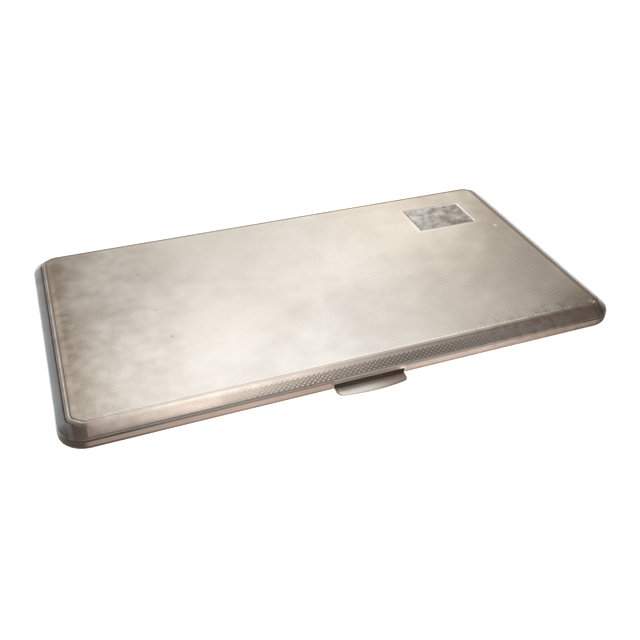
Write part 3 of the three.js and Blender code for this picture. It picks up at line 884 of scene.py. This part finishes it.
def lattice(hole):
    """Corner points of the half-cells, and which cells are kept."""
    across = np.arange(-math.ceil(half_length / half_long), math.ceil(half_length / half_long) + 1)
    along = np.arange(-math.ceil(half_depth / half_short), math.ceil(half_depth / half_short) + 1)
    x, y = np.meshgrid(across * half_long, along * half_short)
    reach_x, reach_y = half_length - flat_inset, half_depth - flat_inset
    fits = (np.abs(x) <= reach_x - FLAT_MARGIN) & (np.abs(y) <= reach_y - FLAT_MARGIN)
    fits &= np.abs(x) + np.abs(y) <= reach_x + reach_y - corner_leg(flat_inset) - FLAT_MARGIN * math.sqrt(2)
    if hole:
        low, high = hole
        clear = (x < low[0] - CARTOUCHE_MARGIN) | (x > high[0] + CARTOUCHE_MARGIN)
        fits &= clear | (y < low[1] - CARTOUCHE_MARGIN) | (y > high[1] + CARTOUCHE_MARGIN)
    kept = fits[:-1, :-1] & fits[1:, :-1] & fits[:-1, 1:] & fits[1:, 1:]
    board = (across[None, :] + along[:, None]) % 2 == 1
    return x, y, kept, board


def kept_edges(kept, number):
    """The edges round the kept cells, as pairs of point numbers."""
    padded = np.pad(kept, 1)
    edges = []
    for row, column in np.argwhere(padded[1:, 1:-1] != padded[:-1, 1:-1]):
        edges.append((number[row, column], number[row, column + 1]))
    for row, column in np.argwhere(padded[1:-1, 1:] != padded[1:-1, :-1]):
        edges.append((number[row, column], number[row + 1, column]))
    return edges


def strip_faces(points, edges, skipped):
    """Triangles over all the points that keep the edges, without those that skipped() names."""
    flat = [Vector(point) for point in points]
    found = delaunay_2d_cdt(flat, edges, [], ALL_TRIANGLES, SAME_PLACE)
    source = [origin[0] for origin in found[3]]
    faces = []
    for face in found[2]:
        corners = [source[index] for index in face]
        a, b, c = (flat[index] for index in corners)
        if skipped((a + b + c) / 3):
            continue
        turn = (b - a).cross(c - a)
        faces.append(tuple(corners) if turn > 0 else tuple(reversed(corners)))
    return faces


# %% [markdown]
# ## Joining the flat to the wall
# The last row of the wall is the border of the flat. The cants at the corners are straight, so for the
# triangulation alone they are bowed out by a hair, which keeps each of their points on the border. The
# recess for the cartouche is a hole in the strip, with four sides and a floor of its own.

# %% The turned flat
CANT_BULGE = 0.001 * MM


def turned_flat(ring, first, hole, seat):
    """Points and faces of the flat inside the ring, numbered after the wall's."""
    x, y, kept, board = lattice(hole)
    used = np.zeros_like(x, bool)
    for row_step in (0, 1):
        for column_step in (0, 1):
            rows = slice(row_step, row_step + kept.shape[0])
            columns = slice(column_step, column_step + kept.shape[1])
            used[rows, columns] |= kept
    around = np.pad(kept, 1)
    inner = around[1:, 1:] & around[:-1, 1:] & around[1:, :-1] & around[:-1, :-1]
    low = board & inner
    number = np.full(x.shape, -1)
    number[used] = np.arange(used.sum())
    cells = []
    for row, column in np.argwhere(kept):
        a, b = number[row, column], number[row, column + 1]
        d, c = number[row + 1, column], number[row + 1, column + 1]
        cells += [(a, b, c), (a, c, d)] if board[row, column] else [(a, b, d), (b, c, d)]
    depth = FLAT_CUT * cut_left(x[used], FLAT_LEFT) * cut_open(x[used], y[used]) * low[used]
    points = np.column_stack([x[used], y[used], FLAT_TOP - depth])
    relief = np.where(low[used], 0.0, 1.0)

    edge = [index for pair in kept_edges(kept, number) for index in pair]
    rim = sorted(set(edge))
    corners = []
    if hole:
        (x0, y0), (x1, y1) = hole
        corners = [(x0, y0), (x1, y0), (x1, y1), (x0, y1)]
    bulge = CANT_BULGE * 4 * np.abs(CANT[:, :1] * CANT[:, 1:]) * OUT
    border = [tuple(point) for point in ring + bulge] + corners + [tuple(points[index, :2]) for index in rim]
    place = {index: len(ring) + len(corners) + order for order, index in enumerate(rim)}
    edges = [(index, (index + 1) % len(ring)) for index in range(len(ring))]
    edges += [(len(ring) + index, len(ring) + (index + 1) % 4) for index in range(len(corners))]
    edges += [(place[a], place[b]) for a, b in zip(edge[::2], edge[1::2])]
    origin = np.array([x[0, 0], y[0, 0]])

    def taken(middle):
        column, row = np.floor((np.array(middle) - origin) / (half_long, half_short)).astype(int)
        in_hole = hole and x0 < middle.x < x1 and y0 < middle.y < y1
        return in_hole or kept[row, column]

    lattice_first = first + len(corners) * 2
    names = list(range(first - len(ring), first)) + list(range(first, first + len(corners)))
    names += [lattice_first + index for index in rim]
    strip = [tuple(names[index] for index in face) for face in strip_faces(border, edges, taken)]
    recess = []
    if hole:
        top, floor = range(first, first + 4), range(first + 4, first + 8)
        recess = [(top[i], top[(i + 1) % 4], floor[(i + 1) % 4], floor[i]) for i in range(4)]
        recess.append(tuple(floor))
        lip = [(*corner, height) for height in (FLAT_TOP, FLAT_TOP - seat) for corner in corners]
        points = np.vstack([lip, points])
        relief = np.concatenate([np.ones(8), relief])
    cells = [tuple(lattice_first + index for index in cell) for cell in cells]
    return points, relief, cells, strip + recess


# %% [markdown]
# ## A whole shell
# The wall, the ceiling inside and the turned flat are numbered into one closed mesh. The base is the
# same form turned over, without the recess for the cartouche. Facets are shaded flat, since each is a
# cut of a tool, and everything pressed is smooth. Relief, and the tarnish with its painted shade, are
# stored on the points, where the silver finds them.

# %% Lid and base
INSIDE_SLOT = 1
SHELL_SHARP = 32  # degrees


def shell_mesh(name, up, hole=None, seat=0.0):
    """A shell on the seam: the lid with up = 1, the base with up = -1."""
    count = len(CENTRE)
    wall_points = WALL.reshape(-1, 3)
    first = len(wall_points)
    points, relief, cells, plain = turned_flat(WALL[-1, :, :2], first, hole, seat)
    faces, facet, inner = wall_faces()
    ceiling = tuple(reversed(range(count)))
    faces = faces + [ceiling] + cells + plain
    facet = facet + [False] + [True] * len(cells) + [False] * len(plain)
    inner = inner + [True] + [False] * (len(cells) + len(plain))
    every = np.vstack([wall_points, points]) * (1, 1, up) + (0, 0, seam)
    mesh = mesh_of(name, every, faces if up > 0 else [face[::-1] for face in faces])
    mesh.set_sharp_from_angle(angle=math.radians(SHELL_SHARP))
    mesh.polygons.foreach_set("use_smooth", [not turned for turned in facet])
    mesh.polygons.foreach_set("material_index", [INSIDE_SLOT * inside for inside in inner])
    tarnish_and_shade = np.concatenate([WALL_TARNISH_AND_SHADE.ravel(), np.full(len(points), TARNISH_AND_SHADE["flat"][0])])
    stored = {"relief": np.concatenate([WALL_RELIEF.ravel(), relief]), "tarnish_and_shade": tarnish_and_shade}
    for key, values in stored.items():
        mesh.attributes.new(key, "FLOAT", "POINT").data.foreach_set("value", values.astype(np.float32))
    return mesh


hole_low = (plate_low.x - CARTOUCHE_GAP, plate_low.y - CARTOUCHE_GAP)
hole_high = (plate_high.x + CARTOUCHE_GAP, plate_high.y + CARTOUCHE_GAP)
recess_depth = lid_high.z - plate_low.z + CARTOUCHE_GAP
lid_mesh = shell_mesh("turned_lid", 1, (hole_low, hole_high), recess_depth)
put("turned_lid", lid_mesh, "lid", ["lid_shell"], "turned_silver", TURNED_SILVER, GILDING)
base_mesh = shell_mesh("turned_base", -1)
turned_base = put("turned_base", base_mesh, "base", ["base_shell"], "turned_silver", TURNED_SILVER, GILDING)

# %% [markdown]
# ## The notch
# The thumb piece slides in a notch in the base's front rim, right under the lid. It is the one cut in
# the case that the grid of the wall can't follow, so a box is taken away from the finished base.

# %% Cut the notch
NOTCH_CLEARANCE = 0.15 * MM
press_travel = next(j["range_m"][1] for j in frame["joints"] if j["name"] == "catch_press")


def take_away(piece, low, high):
    """Cuts a box out of a piece and keeps what is stored on its points."""
    corners = [(x, y, z) for x in (low[0], high[0]) for y in (low[1], high[1]) for z in (low[2], high[2])]
    sides = [(0, 1, 3, 2), (4, 6, 7, 5), (0, 4, 5, 1), (2, 3, 7, 6), (0, 2, 6, 4), (1, 5, 7, 3)]
    cutter = add("cutter", mesh_of("cutter", corners, sides))
    outward(cutter.data)
    cut = piece.modifiers.new("notch", "BOOLEAN")
    cut.operation = "DIFFERENCE"
    cut.solver = "MANIFOLD"
    cut.object = cutter
    graph = bpy.context.evaluated_depsgraph_get()
    shaped = bpy.data.meshes.new_from_object(
        piece.evaluated_get(graph), preserve_all_data_layers=True, depsgraph=graph)
    piece.modifiers.clear()
    piece.data = shaped
    bpy.data.objects.remove(cutter)
    print(f"{piece.name}: {len(shaped.polygons)} faces after the cut")


take_away(
    turned_base,
    (thumb_low.x - NOTCH_CLEARANCE, base_low.y - SHEET, thumb_low.z - NOTCH_CLEARANCE),
    (thumb_high.x + NOTCH_CLEARANCE, thumb_high.y + press_travel + NOTCH_CLEARANCE, seam + SHEET))

# %% [markdown]
# ## The cartouche
# A small plate is let into the lid. Its narrow edge lies level with the flat, and from it a slope goes
# down to a plain satin field that was never polished, so it stays darker than the silver about it. The
# plate is a pile of rectangles with softened corners, each a step further in along that section.

# %% Edge and field
EDGE_WIDTH = 0.12 * MM
SLOPE_WIDTH = 0.4 * MM
FIELD_DROP = 0.26 * MM
EDGE_ROUND = 0.05 * MM
PLATE_CORNER = 0.3 * MM
PLATE_CORNER_STEPS = 4
LEAST_CORNER = 0.02 * MM
FIELD_SLOT = 1
SCRAPER_DEPTH = 0.04 * MM
GREY_TARNISH = (0.33, 0.29, 0.25)


def satin_silver():
    """The bare field: matt, blotched, with the marks of a scraper."""
    finish = Finish("satin_silver", {"Metallic": 1.0})
    place = finish.where()
    blotches = finish.fade(finish.noise(place, 520.0, 5.0), 0.36, 0.68)
    marks = finish.streaks(place, (120.0, 1600.0, 120.0), 35.0, 3.0)
    to_right = finish.fade(finish.axis(place, "X"), plate_low.x / MM, plate_high.x / MM)
    grey = blotches * 0.40 + marks * 0.40 + to_right * 0.60 + 0.05
    return finish.paint({
        "Base Color": finish.mix(grey, BRIGHT_SILVER, GREY_TARNISH),
        "Roughness": blotches * 0.10 + 0.36,
        "Normal": finish.bump(blotches + marks, 0.12, SCRAPER_DEPTH),
    })


def soft_rectangle(half_x, half_y, inset, height):
    """A rectangle with rounded corners, drawn in by an inset."""
    radius = max(PLATE_CORNER - inset, LEAST_CORNER)
    points = []
    for turn, (x, y) in enumerate(((1, 1), (-1, 1), (-1, -1), (1, -1))):
        for step in range(PLATE_CORNER_STEPS + 1):
            angle = (turn + step / PLATE_CORNER_STEPS) * math.pi / 2
            points.append((x * (half_x - inset - radius) + radius * math.cos(angle),
                           y * (half_y - inset - radius) + radius * math.sin(angle), height))
    return points


def cartouche_mesh():
    middle, half = (plate_low + plate_high) / 2, (plate_high - plate_low) / 2
    fall = FIELD_DROP / SLOPE_WIDTH
    field_inset = EDGE_WIDTH + SLOPE_WIDTH
    drops = [
        (0.0, EDGE_ROUND), (EDGE_ROUND, 0.0), (EDGE_WIDTH - EDGE_ROUND, 0.0),
        (EDGE_WIDTH + EDGE_ROUND, EDGE_ROUND * fall),
        (field_inset - EDGE_ROUND, FIELD_DROP - EDGE_ROUND * fall), (field_inset + EDGE_ROUND, FIELD_DROP),
    ]
    steps = [(0.0, plate_low.z)] + [(inset, plate_high.z - drop) for inset, drop in drops]
    rings = [soft_rectangle(half.x, half.y, inset, height) for inset, height in steps]
    points = np.array(rings).reshape(-1, 3) + (middle.x, middle.y, 0)
    mesh = closed_mesh("cartouche", points, loft_faces(len(rings), len(rings[0])), sharp_degrees=50)
    mesh.polygons[-1].material_index = FIELD_SLOT
    return mesh


put("cartouche", cartouche_mesh(), "lid", ["cartouche_plate"], "plain_silver", PLAIN_SILVER, satin_silver())

# %% [markdown]
# ## The hinge
# Nine short tubes share one pin: five belong to the base and four to the lid. Each was sawn from drawn
# tube and its ends broken with a file, so each is a small turned profile with a chamfer at every edge.

# %% Knuckles
KNUCKLE_SIDES = 40
KNUCKLE_CHAMFER = 0.09 * MM
BORE_RADIUS = 0.68 * MM


def knuckle_mesh(node):
    low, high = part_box(node)
    chamfer = KNUCKLE_CHAMFER
    profile = [
        (low.x + chamfer, barrel_radius), (high.x - chamfer, barrel_radius),
        (high.x, barrel_radius - chamfer), (high.x, BORE_RADIUS + chamfer),
        (high.x - chamfer, BORE_RADIUS), (low.x + chamfer, BORE_RADIUS),
        (low.x, BORE_RADIUS + chamfer), (low.x, barrel_radius - chamfer),
    ]
    angles = np.arange(KNUCKLE_SIDES) * 2 * math.pi / KNUCKLE_SIDES
    points = [(x, hinge_y + radius * math.cos(a), seam + radius * math.sin(a))
              for x, radius in profile for a in angles]
    faces = ring_faces(len(profile), KNUCKLE_SIDES, wrap_rows=True)
    return closed_mesh(node, points, faces, sharp_degrees=30)


for node in sorted(name for name in frame["nodes"] if "_knuckle_" in name):
    body, _, number = node.partition("_knuckle_")
    put(f"barrel_{body}_{number}", knuckle_mesh(node), body, [node], "plain_silver", PLAIN_SILVER)

# %% [markdown]
# ## The thumb piece
# The lip slopes down a little to a full rolled nose at the front, where the thumb presses. It is lofted:
# one closed section for each place along its width, with the nose following the bowed front and the ends
# thinning to round edges.

# %% Thumb lip
THUMB_CROWN = 0.95 * MM  # how far the middle stands ahead of the ends
THUMB_CORNER = 1.1 * MM
THUMB_NOSE = 0.8 * MM  # length of the rolled front
THUMB_FALL = 0.16 * MM  # how far the top slopes down to the nose
THUMB_UNDER = 0.35 * MM  # rounding under the nose
THUMB_END = 0.32 * MM  # rounding of the ends
THUMB_STATIONS = 64
NOSE_STEPS = 9
TOP_STEPS = 10


def thumb_section(x):
    """The closed section of the lip at a place along its width, as points in Y and Z."""
    half = thumb_high.x
    past_corner = max(abs(x) - (half - THUMB_CORNER), 0)
    front = thumb_low.y + THUMB_CROWN * (x / half) ** 2
    front += THUMB_CORNER - math.sqrt(max(THUMB_CORNER ** 2 - past_corner ** 2, 0))
    past_end = max(abs(x) - (half - THUMB_END), 0)
    thin = THUMB_END - math.sqrt(max(THUMB_END ** 2 - past_end ** 2, 0))
    top, under = thumb_high.z - thin, thumb_low.z + thin / 2
    nose_back = front + THUMB_NOSE
    nose_top = top - THUMB_FALL
    points = []
    for share in np.linspace(0, 1, TOP_STEPS):
        y = thumb_high.y + share * (nose_back - thumb_high.y)
        out = min(max((base_low.y - y) / (base_low.y - nose_back), 0), 1)
        points.append((y, top - THUMB_FALL * out))
    waist = min(under + THUMB_UNDER, nose_top - THUMB_UNDER / 2)
    for angle in np.linspace(math.pi / 2, 0, NOSE_STEPS)[1:]:
        y = nose_back - THUMB_NOSE * math.cos(angle)
        points.append((y, waist + (nose_top - waist) * math.sin(angle)))
    for angle in np.linspace(0, math.pi / 2, NOSE_STEPS)[1:]:
        y = front + THUMB_UNDER * (1 - math.cos(angle))
        points.append((y, waist - (waist - under) * math.sin(angle)))
    points.append((thumb_high.y, under))
    return points


def thumb_mesh():
    spread = np.sin(np.linspace(-1, 1, THUMB_STATIONS) * math.pi / 2) * thumb_high.x
    sections = [[(x, y, z) for y, z in thumb_section(x)] for x in spread]
    faces = loft_faces(THUMB_STATIONS, len(sections[0]))
    return closed_mesh("thumb_lip", np.array(sections).reshape(-1, 3), faces, sharp_degrees=40)


put("thumb_lip", thumb_mesh(), "catch", ["thumb_piece"], "plain_silver", THUMBED_SILVER)

# %% [markdown]
# ## Small fittings
# The catch, its guard, the closing strips, the staples, the pin and the rivets were cut and bent from
# sheet and wire. Their solids have the right form but knife edges, and no real edge is that sharp. Each
# is copied, its flat faces are joined up again, and every hard edge gets a small round.

# %% Softened fittings
SAME_POINT = 0.001 * MM
FLAT_DEGREES = 2
HARD_DEGREES = 30
FITTINGS = [
    ("gilt", GILDING, "base", 0.07 * MM, ["catch_guard", "spring_lug_left", "spring_lug_right"]),
    ("gilt", GILDING, "base", 0.06 * MM, ["closing_strip_front_left", "closing_strip_front_right",
                                          "closing_strip_left", "closing_strip_right"]),
    ("gilt", GILDING, "base", 0.10 * MM, ["strap_staple_left", "strap_staple_right"]),
    ("gilt", GILDING, "lid", 0.06 * MM, ["catch_keeper"]),
    ("gilt", DUSTY_SHADED_GILDING, "catch", 0.06 * MM, ["catch_slide"]),
    ("steel", DRAWN_STEEL, "catch", 0.05 * MM, ["catch_rivet_left", "catch_rivet_right"]),
    ("steel", DRAWN_STEEL, "base", 0.05 * MM, ["hinge_pin", "catch_spring"]),
]


def softened(node, width):
    """A copy of a solid's mesh with its hard edges rounded."""
    mesh = frame["nodes"][node].data.copy()
    mesh.materials.clear()
    work = bmesh.new()
    work.from_mesh(mesh)
    bmesh.ops.remove_doubles(work, verts=work.verts, dist=SAME_POINT)
    bmesh.ops.dissolve_limit(
        work, angle_limit=math.radians(FLAT_DEGREES), verts=work.verts, edges=work.edges)
    hard = [edge for edge in work.edges if edge.calc_face_angle(0) > math.radians(HARD_DEGREES)]
    bmesh.ops.bevel(work, geom=hard, offset=width, segments=2, profile=0.5, affect="EDGES")
    work.to_mesh(mesh)
    work.free()
    smooth(mesh, HARD_DEGREES)
    return mesh


made = {}
for slot, finish, body, width, nodes in FITTINGS:
    for node in nodes:
        made[node] = put(f"{node}_fitting", softened(node, width), body, [node], slot, finish)

# %% [markdown]
# ## The spring
# Pressing the thumb piece pushes the slide back on the bowed leaf spring, which flattens towards the
# lugs that hold its ends. Here the spring only gets a mesh of its own, and its bow is left as it is.

# %% Spring and press
spring_low, spring_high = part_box("catch_spring")
bow = spring_high.y - spring_low.y
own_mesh(made["catch_spring"], "catch_press", axis=(0, 1, 0),
          anchor=(0, spring_high.y, (spring_low.z + spring_high.z) / 2), keep=1 - press_travel / bow)
print(f"spring keeps {100 * (1 - press_travel / bow):.0f}% of its bow when pressed")

# %% [markdown]
# ## The elastic strap
# A flat band of woven elastic runs along the case between two wire staples. Each end goes round its
# staple, folds back on the band and is sewn down with two rows of stitches. The band's middle line is
# worked out from the staples, and a ribbed section is swept along it. It is a soft sheet held stretched.

# %% The band
STRAP_WIDTH = 10.0 * MM  # as cut from the roll
STRAP_THICKNESS = 0.46 * MM
STRAP_RIBS = 12
RIB_POINTS = 5
RIB_DEPTH = 0.07 * MM
STRAP_EDGE = 0.04  # the share of the half width that is rounded off
STRAP_EDGE_LEAST = 0.05
BAND_STEP = 0.9 * MM
STRAP_WRAP = math.radians(135)
HEM_LENGTH = 9.0 * MM
HEM_FOLD = 2.6 * MM
FOLD_STEPS = 4
LOOP_STEPS = 18

strap_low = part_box("elastic_strap")[0]
staple_low, staple_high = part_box("strap_staple_right")
wire = (staple_high.z - staple_low.z) / 2
bar_x, bar_z = staple_low.x + wire, (staple_low.z + staple_high.z) / 2
loop_outside = bar_z - strap_low.z
solid_thickness = 0.55 * MM
loop_radius = loop_outside - solid_thickness / 2


def strap_line():
    """The middle line of the band in X and Z, from one hem's end to the other's."""
    band_z, hem_z = bar_z - loop_radius, bar_z - loop_radius + solid_thickness
    hem = [(x, hem_z) for x in np.arange(bar_x - HEM_LENGTH, bar_x - HEM_FOLD, BAND_STEP)]
    angles = np.linspace(STRAP_WRAP, -math.pi / 2, LOOP_STEPS)
    loop = [(bar_x + loop_radius * math.cos(a), bar_z + loop_radius * math.sin(a)) for a in angles]
    fold_start, fold_end = np.array((bar_x - HEM_FOLD, hem_z)), np.array(loop[0])
    rise = np.linspace(0, 1, FOLD_STEPS + 1)[:-1]
    fold = [tuple((1 - s) * fold_start + s * fold_end) for s in rise * rise * (3 - 2 * rise)]
    half = hem + fold + loop
    run = [(x, band_z) for x in np.arange(bar_x, -bar_x, -BAND_STEP)[1:]]
    return np.array(half + run + [(-x, z) for x, z in reversed(half)])


def strap_section():
    """The ribbed section across the band: Y and how far out from the middle line."""
    count = STRAP_RIBS * RIB_POINTS
    share = np.linspace(-1, 1, count + 1)
    y = share * STRAP_WIDTH / 2
    rib = RIB_DEPTH * np.cos(math.pi * STRAP_RIBS * (share + 1) / 2) ** 2
    past_edge = np.clip((np.abs(share) - 1 + STRAP_EDGE) / STRAP_EDGE, 0, 1)
    edge = np.sqrt(np.clip(1 - past_edge ** 2, STRAP_EDGE_LEAST, 1))
    out = (STRAP_THICKNESS / 2 - rib) * edge
    return np.concatenate([np.column_stack([y, out]), np.column_stack([y[::-1], -out[::-1]])])


def strap_mesh(line):
    ahead = np.gradient(line, axis=0)
    ahead /= np.linalg.norm(ahead, axis=1)[:, None]
    across = strap_section()
    points = [(x - step[1] * out, y, z + step[0] * out)
              for (x, z), step in zip(line, ahead) for y, out in across]
    return closed_mesh("strap", points, loft_faces(len(line), len(across)), sharp_degrees=60)


STRAP_LINE = strap_line()
strap = put("strap", strap_mesh(STRAP_LINE), "base", ["elastic_strap"], "elastic", WOVEN_ELASTIC)

# %% [markdown]
# ## Stitches
# Two rows of waxed thread sew each hem down. A stitch is a small spindle whose ends dip into the cloth,
# and all of them are one mesh, because they are never seen apart.

# %% The stitches
STITCH_ROWS = (-7.6 * MM, -4.2 * MM)  # from the bar
STITCHES = 8
STITCH_RADIUS = 0.13 * MM
STITCH_SIDES = 8
STITCH_STEPS = 7
STITCH_REACH = 0.38  # half a stitch, as a share of their pitch
STITCH_POINT = 0.03  # keeps the ends from closing to a point
THREAD_LIGHTER = 1.6
THREAD = (0.36, 0.24, 0.12)


def waxed_thread():
    finish = Finish("waxed_thread", {"Specular IOR Level": 0.3})
    twist = finish.streaks(finish.where(), (4000.0, 9000.0, 4000.0), 40.0, 2.0)
    return finish.paint({
        "Base Color": finish.mix(twist, THREAD, tuple(THREAD_LIGHTER * part for part in THREAD)),
        "Roughness": twist * 0.2 + 0.6,
        "Normal": finish.bump(twist, 0.4),
    })


def stitch_mesh():
    """All the stitches on both hems, each a small spindle that dips in at its ends."""
    pitch = STRAP_WIDTH / (STITCHES + 1)
    hem_top = bar_z - loop_radius + solid_thickness + STRAP_THICKNESS / 2
    points, faces = [], []
    one_stitch = loft_faces(STITCH_STEPS, STITCH_SIDES)
    for side in (-1, 1):
        for row in STITCH_ROWS:
            for number in range(STITCHES):
                middle = (number + 1) * pitch - STRAP_WIDTH / 2
                faces += [tuple(len(points) + index for index in face) for face in one_stitch]
                for share in np.linspace(-1, 1, STITCH_STEPS):
                    radius = STITCH_RADIUS * math.sqrt(max(1 - share ** 2, STITCH_POINT))
                    sunk = STITCH_RADIUS * share ** 2
                    for turn in np.arange(STITCH_SIDES) * 2 * math.pi / STITCH_SIDES:
                        points.append((side * (bar_x + row) + radius * math.cos(turn),
                                       middle + share * STITCH_REACH * pitch,
                                       hem_top - sunk + radius * math.sin(turn)))
    return closed_mesh("hem_stitches", points, faces, sharp_degrees=60)


stitches = put("hem_stitches", stitch_mesh(), "base", [], "elastic", waxed_thread())

# %% [markdown]
# ## Floor
# The case lies on a pale sweep that glows a little by itself, as paper on a light table does, so that
# hardly a shadow is left.

# %% The pale floor
FLOOR_SIZE = 6.0
FLOOR_DROP = 0.02 * MM
FLOOR_GLOW = 0.85
FLOOR_WHITES = ((0.88, 0.88, 0.88), (0.92, 0.92, 0.92))


def pale_floor():
    finish = Finish("pale_floor", {
        "Specular IOR Level": 0.1, "Emission Color": (1, 1, 1, 1), "Emission Strength": FLOOR_GLOW})
    cloud = finish.noise(finish.where(), 3.0, 2.0)
    return finish.paint({"Base Color": finish.mix(cloud, *FLOOR_WHITES), "Roughness": cloud * 0.1 + 0.8})


floor_corners = np.array([(-1, -1, 0), (1, -1, 0), (1, 1, 0), (-1, 1, 0)]) * FLOOR_SIZE - (0, 0, FLOOR_DROP)
floor_mesh = mesh_of("floor", floor_corners, [(0, 1, 2, 3)])
floor_mesh.materials.append(pale_floor())
floor = add("floor", floor_mesh)
print(f"floor {2 * FLOOR_SIZE:.0f} m wide")

# %% [markdown]
# ## Light
# Polished silver shows what it mirrors, so the lights are placed for their reflections. A large soft one
# behind the case and to the right fills the flat with a sheen that fades to both ends. A narrow one
# overhead does the same for the front bevel, a little warm, and a soft high sun keeps the floor pale.

# %% The lights
SOFTBOXES = [  # name, direction from the case, size in metres, watts, colour, and roll in degrees
    ("back_light", (0.26, 0.75, 0.61), (0.84, 0.56), 1.48, (1, 1, 1), 28),
    ("top_light", (0.13, -0.375, 0.915), (0.18, 0.40), 0.88, (1, 0.90, 0.84), 0),
]
SOFTBOX_DISTANCE = 1.0
SUN_SHINES = (-0.25, -0.30, -0.92)
SUN_STRENGTH = 0.3
SUN_SPREAD = 40  # degrees
STUDIO_GREY = (0.215, 0.22, 0.225, 1)


def facing(direction):
    """The rotation of a light that shines in a direction."""
    return Vector(direction).to_track_quat("-Z", "Y")


for name, direction, size, watts, colour, roll in SOFTBOXES:
    lamp = bpy.data.lights.new(name, "AREA")
    lamp.shape = "RECTANGLE"
    lamp.size, lamp.size_y = size
    lamp.energy = watts
    lamp.color = colour
    softbox = add(name, lamp)
    softbox.location = Vector(direction).normalized() * SOFTBOX_DISTANCE
    rolled = Quaternion((0, 0, 1), math.radians(roll))
    softbox.rotation_euler = (facing(-softbox.location) @ rolled).to_euler()
    print(f"{name}: {watts} W over {size[0]} x {size[1]} m")

sun = bpy.data.lights.new("high_sun", "SUN")
sun.energy = SUN_STRENGTH
sun.angle = math.radians(SUN_SPREAD)
add("high_sun", sun).rotation_euler = facing(SUN_SHINES).to_euler()

world = bpy.data.worlds.new("studio")
world.use_nodes = True
world.node_tree.nodes["Background"].inputs["Color"].default_value = STUDIO_GREY
bpy.context.scene.world = world
bpy.context.scene.view_settings.view_transform = "Standard"

# %% [markdown]
# ## Camera
# The camera stands above and to the left of the front and looks along the case. Its place, its look, its
# lens and a small roll were fitted to the case's outline, so they are given as numbers here, and the
# rest of its frame follows from the look.

# %% The camera
CAMERA_PLACE = Vector((-65.326, -170.540, 129.414)) * MM
CAMERA_LOOK = Vector((0.2943, 0.7449, -0.59876))
CAMERA_ROLL = math.radians(1.27)
CAMERA_LENS = 42.526  # mm, for a frame 36 mm wide
CAMERA_NEAREST = 0.01

look = CAMERA_LOOK.normalized()
level = look.cross(Vector((0, 0, 1))).normalized()
above = level.cross(look)
right = level * math.cos(CAMERA_ROLL) + above * math.sin(CAMERA_ROLL)
top = above * math.cos(CAMERA_ROLL) - level * math.sin(CAMERA_ROLL)
lens = bpy.data.cameras.new("camera")
lens.lens = CAMERA_LENS
lens.clip_start = CAMERA_NEAREST
camera = add("camera", lens)
camera.matrix_world = Matrix.Translation(CAMERA_PLACE) @ Matrix((right, top, -look)).transposed().to_4x4()
bpy.context.scene.camera = camera
print(f"camera {CAMERA_PLACE.length / MM:.0f} mm from the middle of the case")
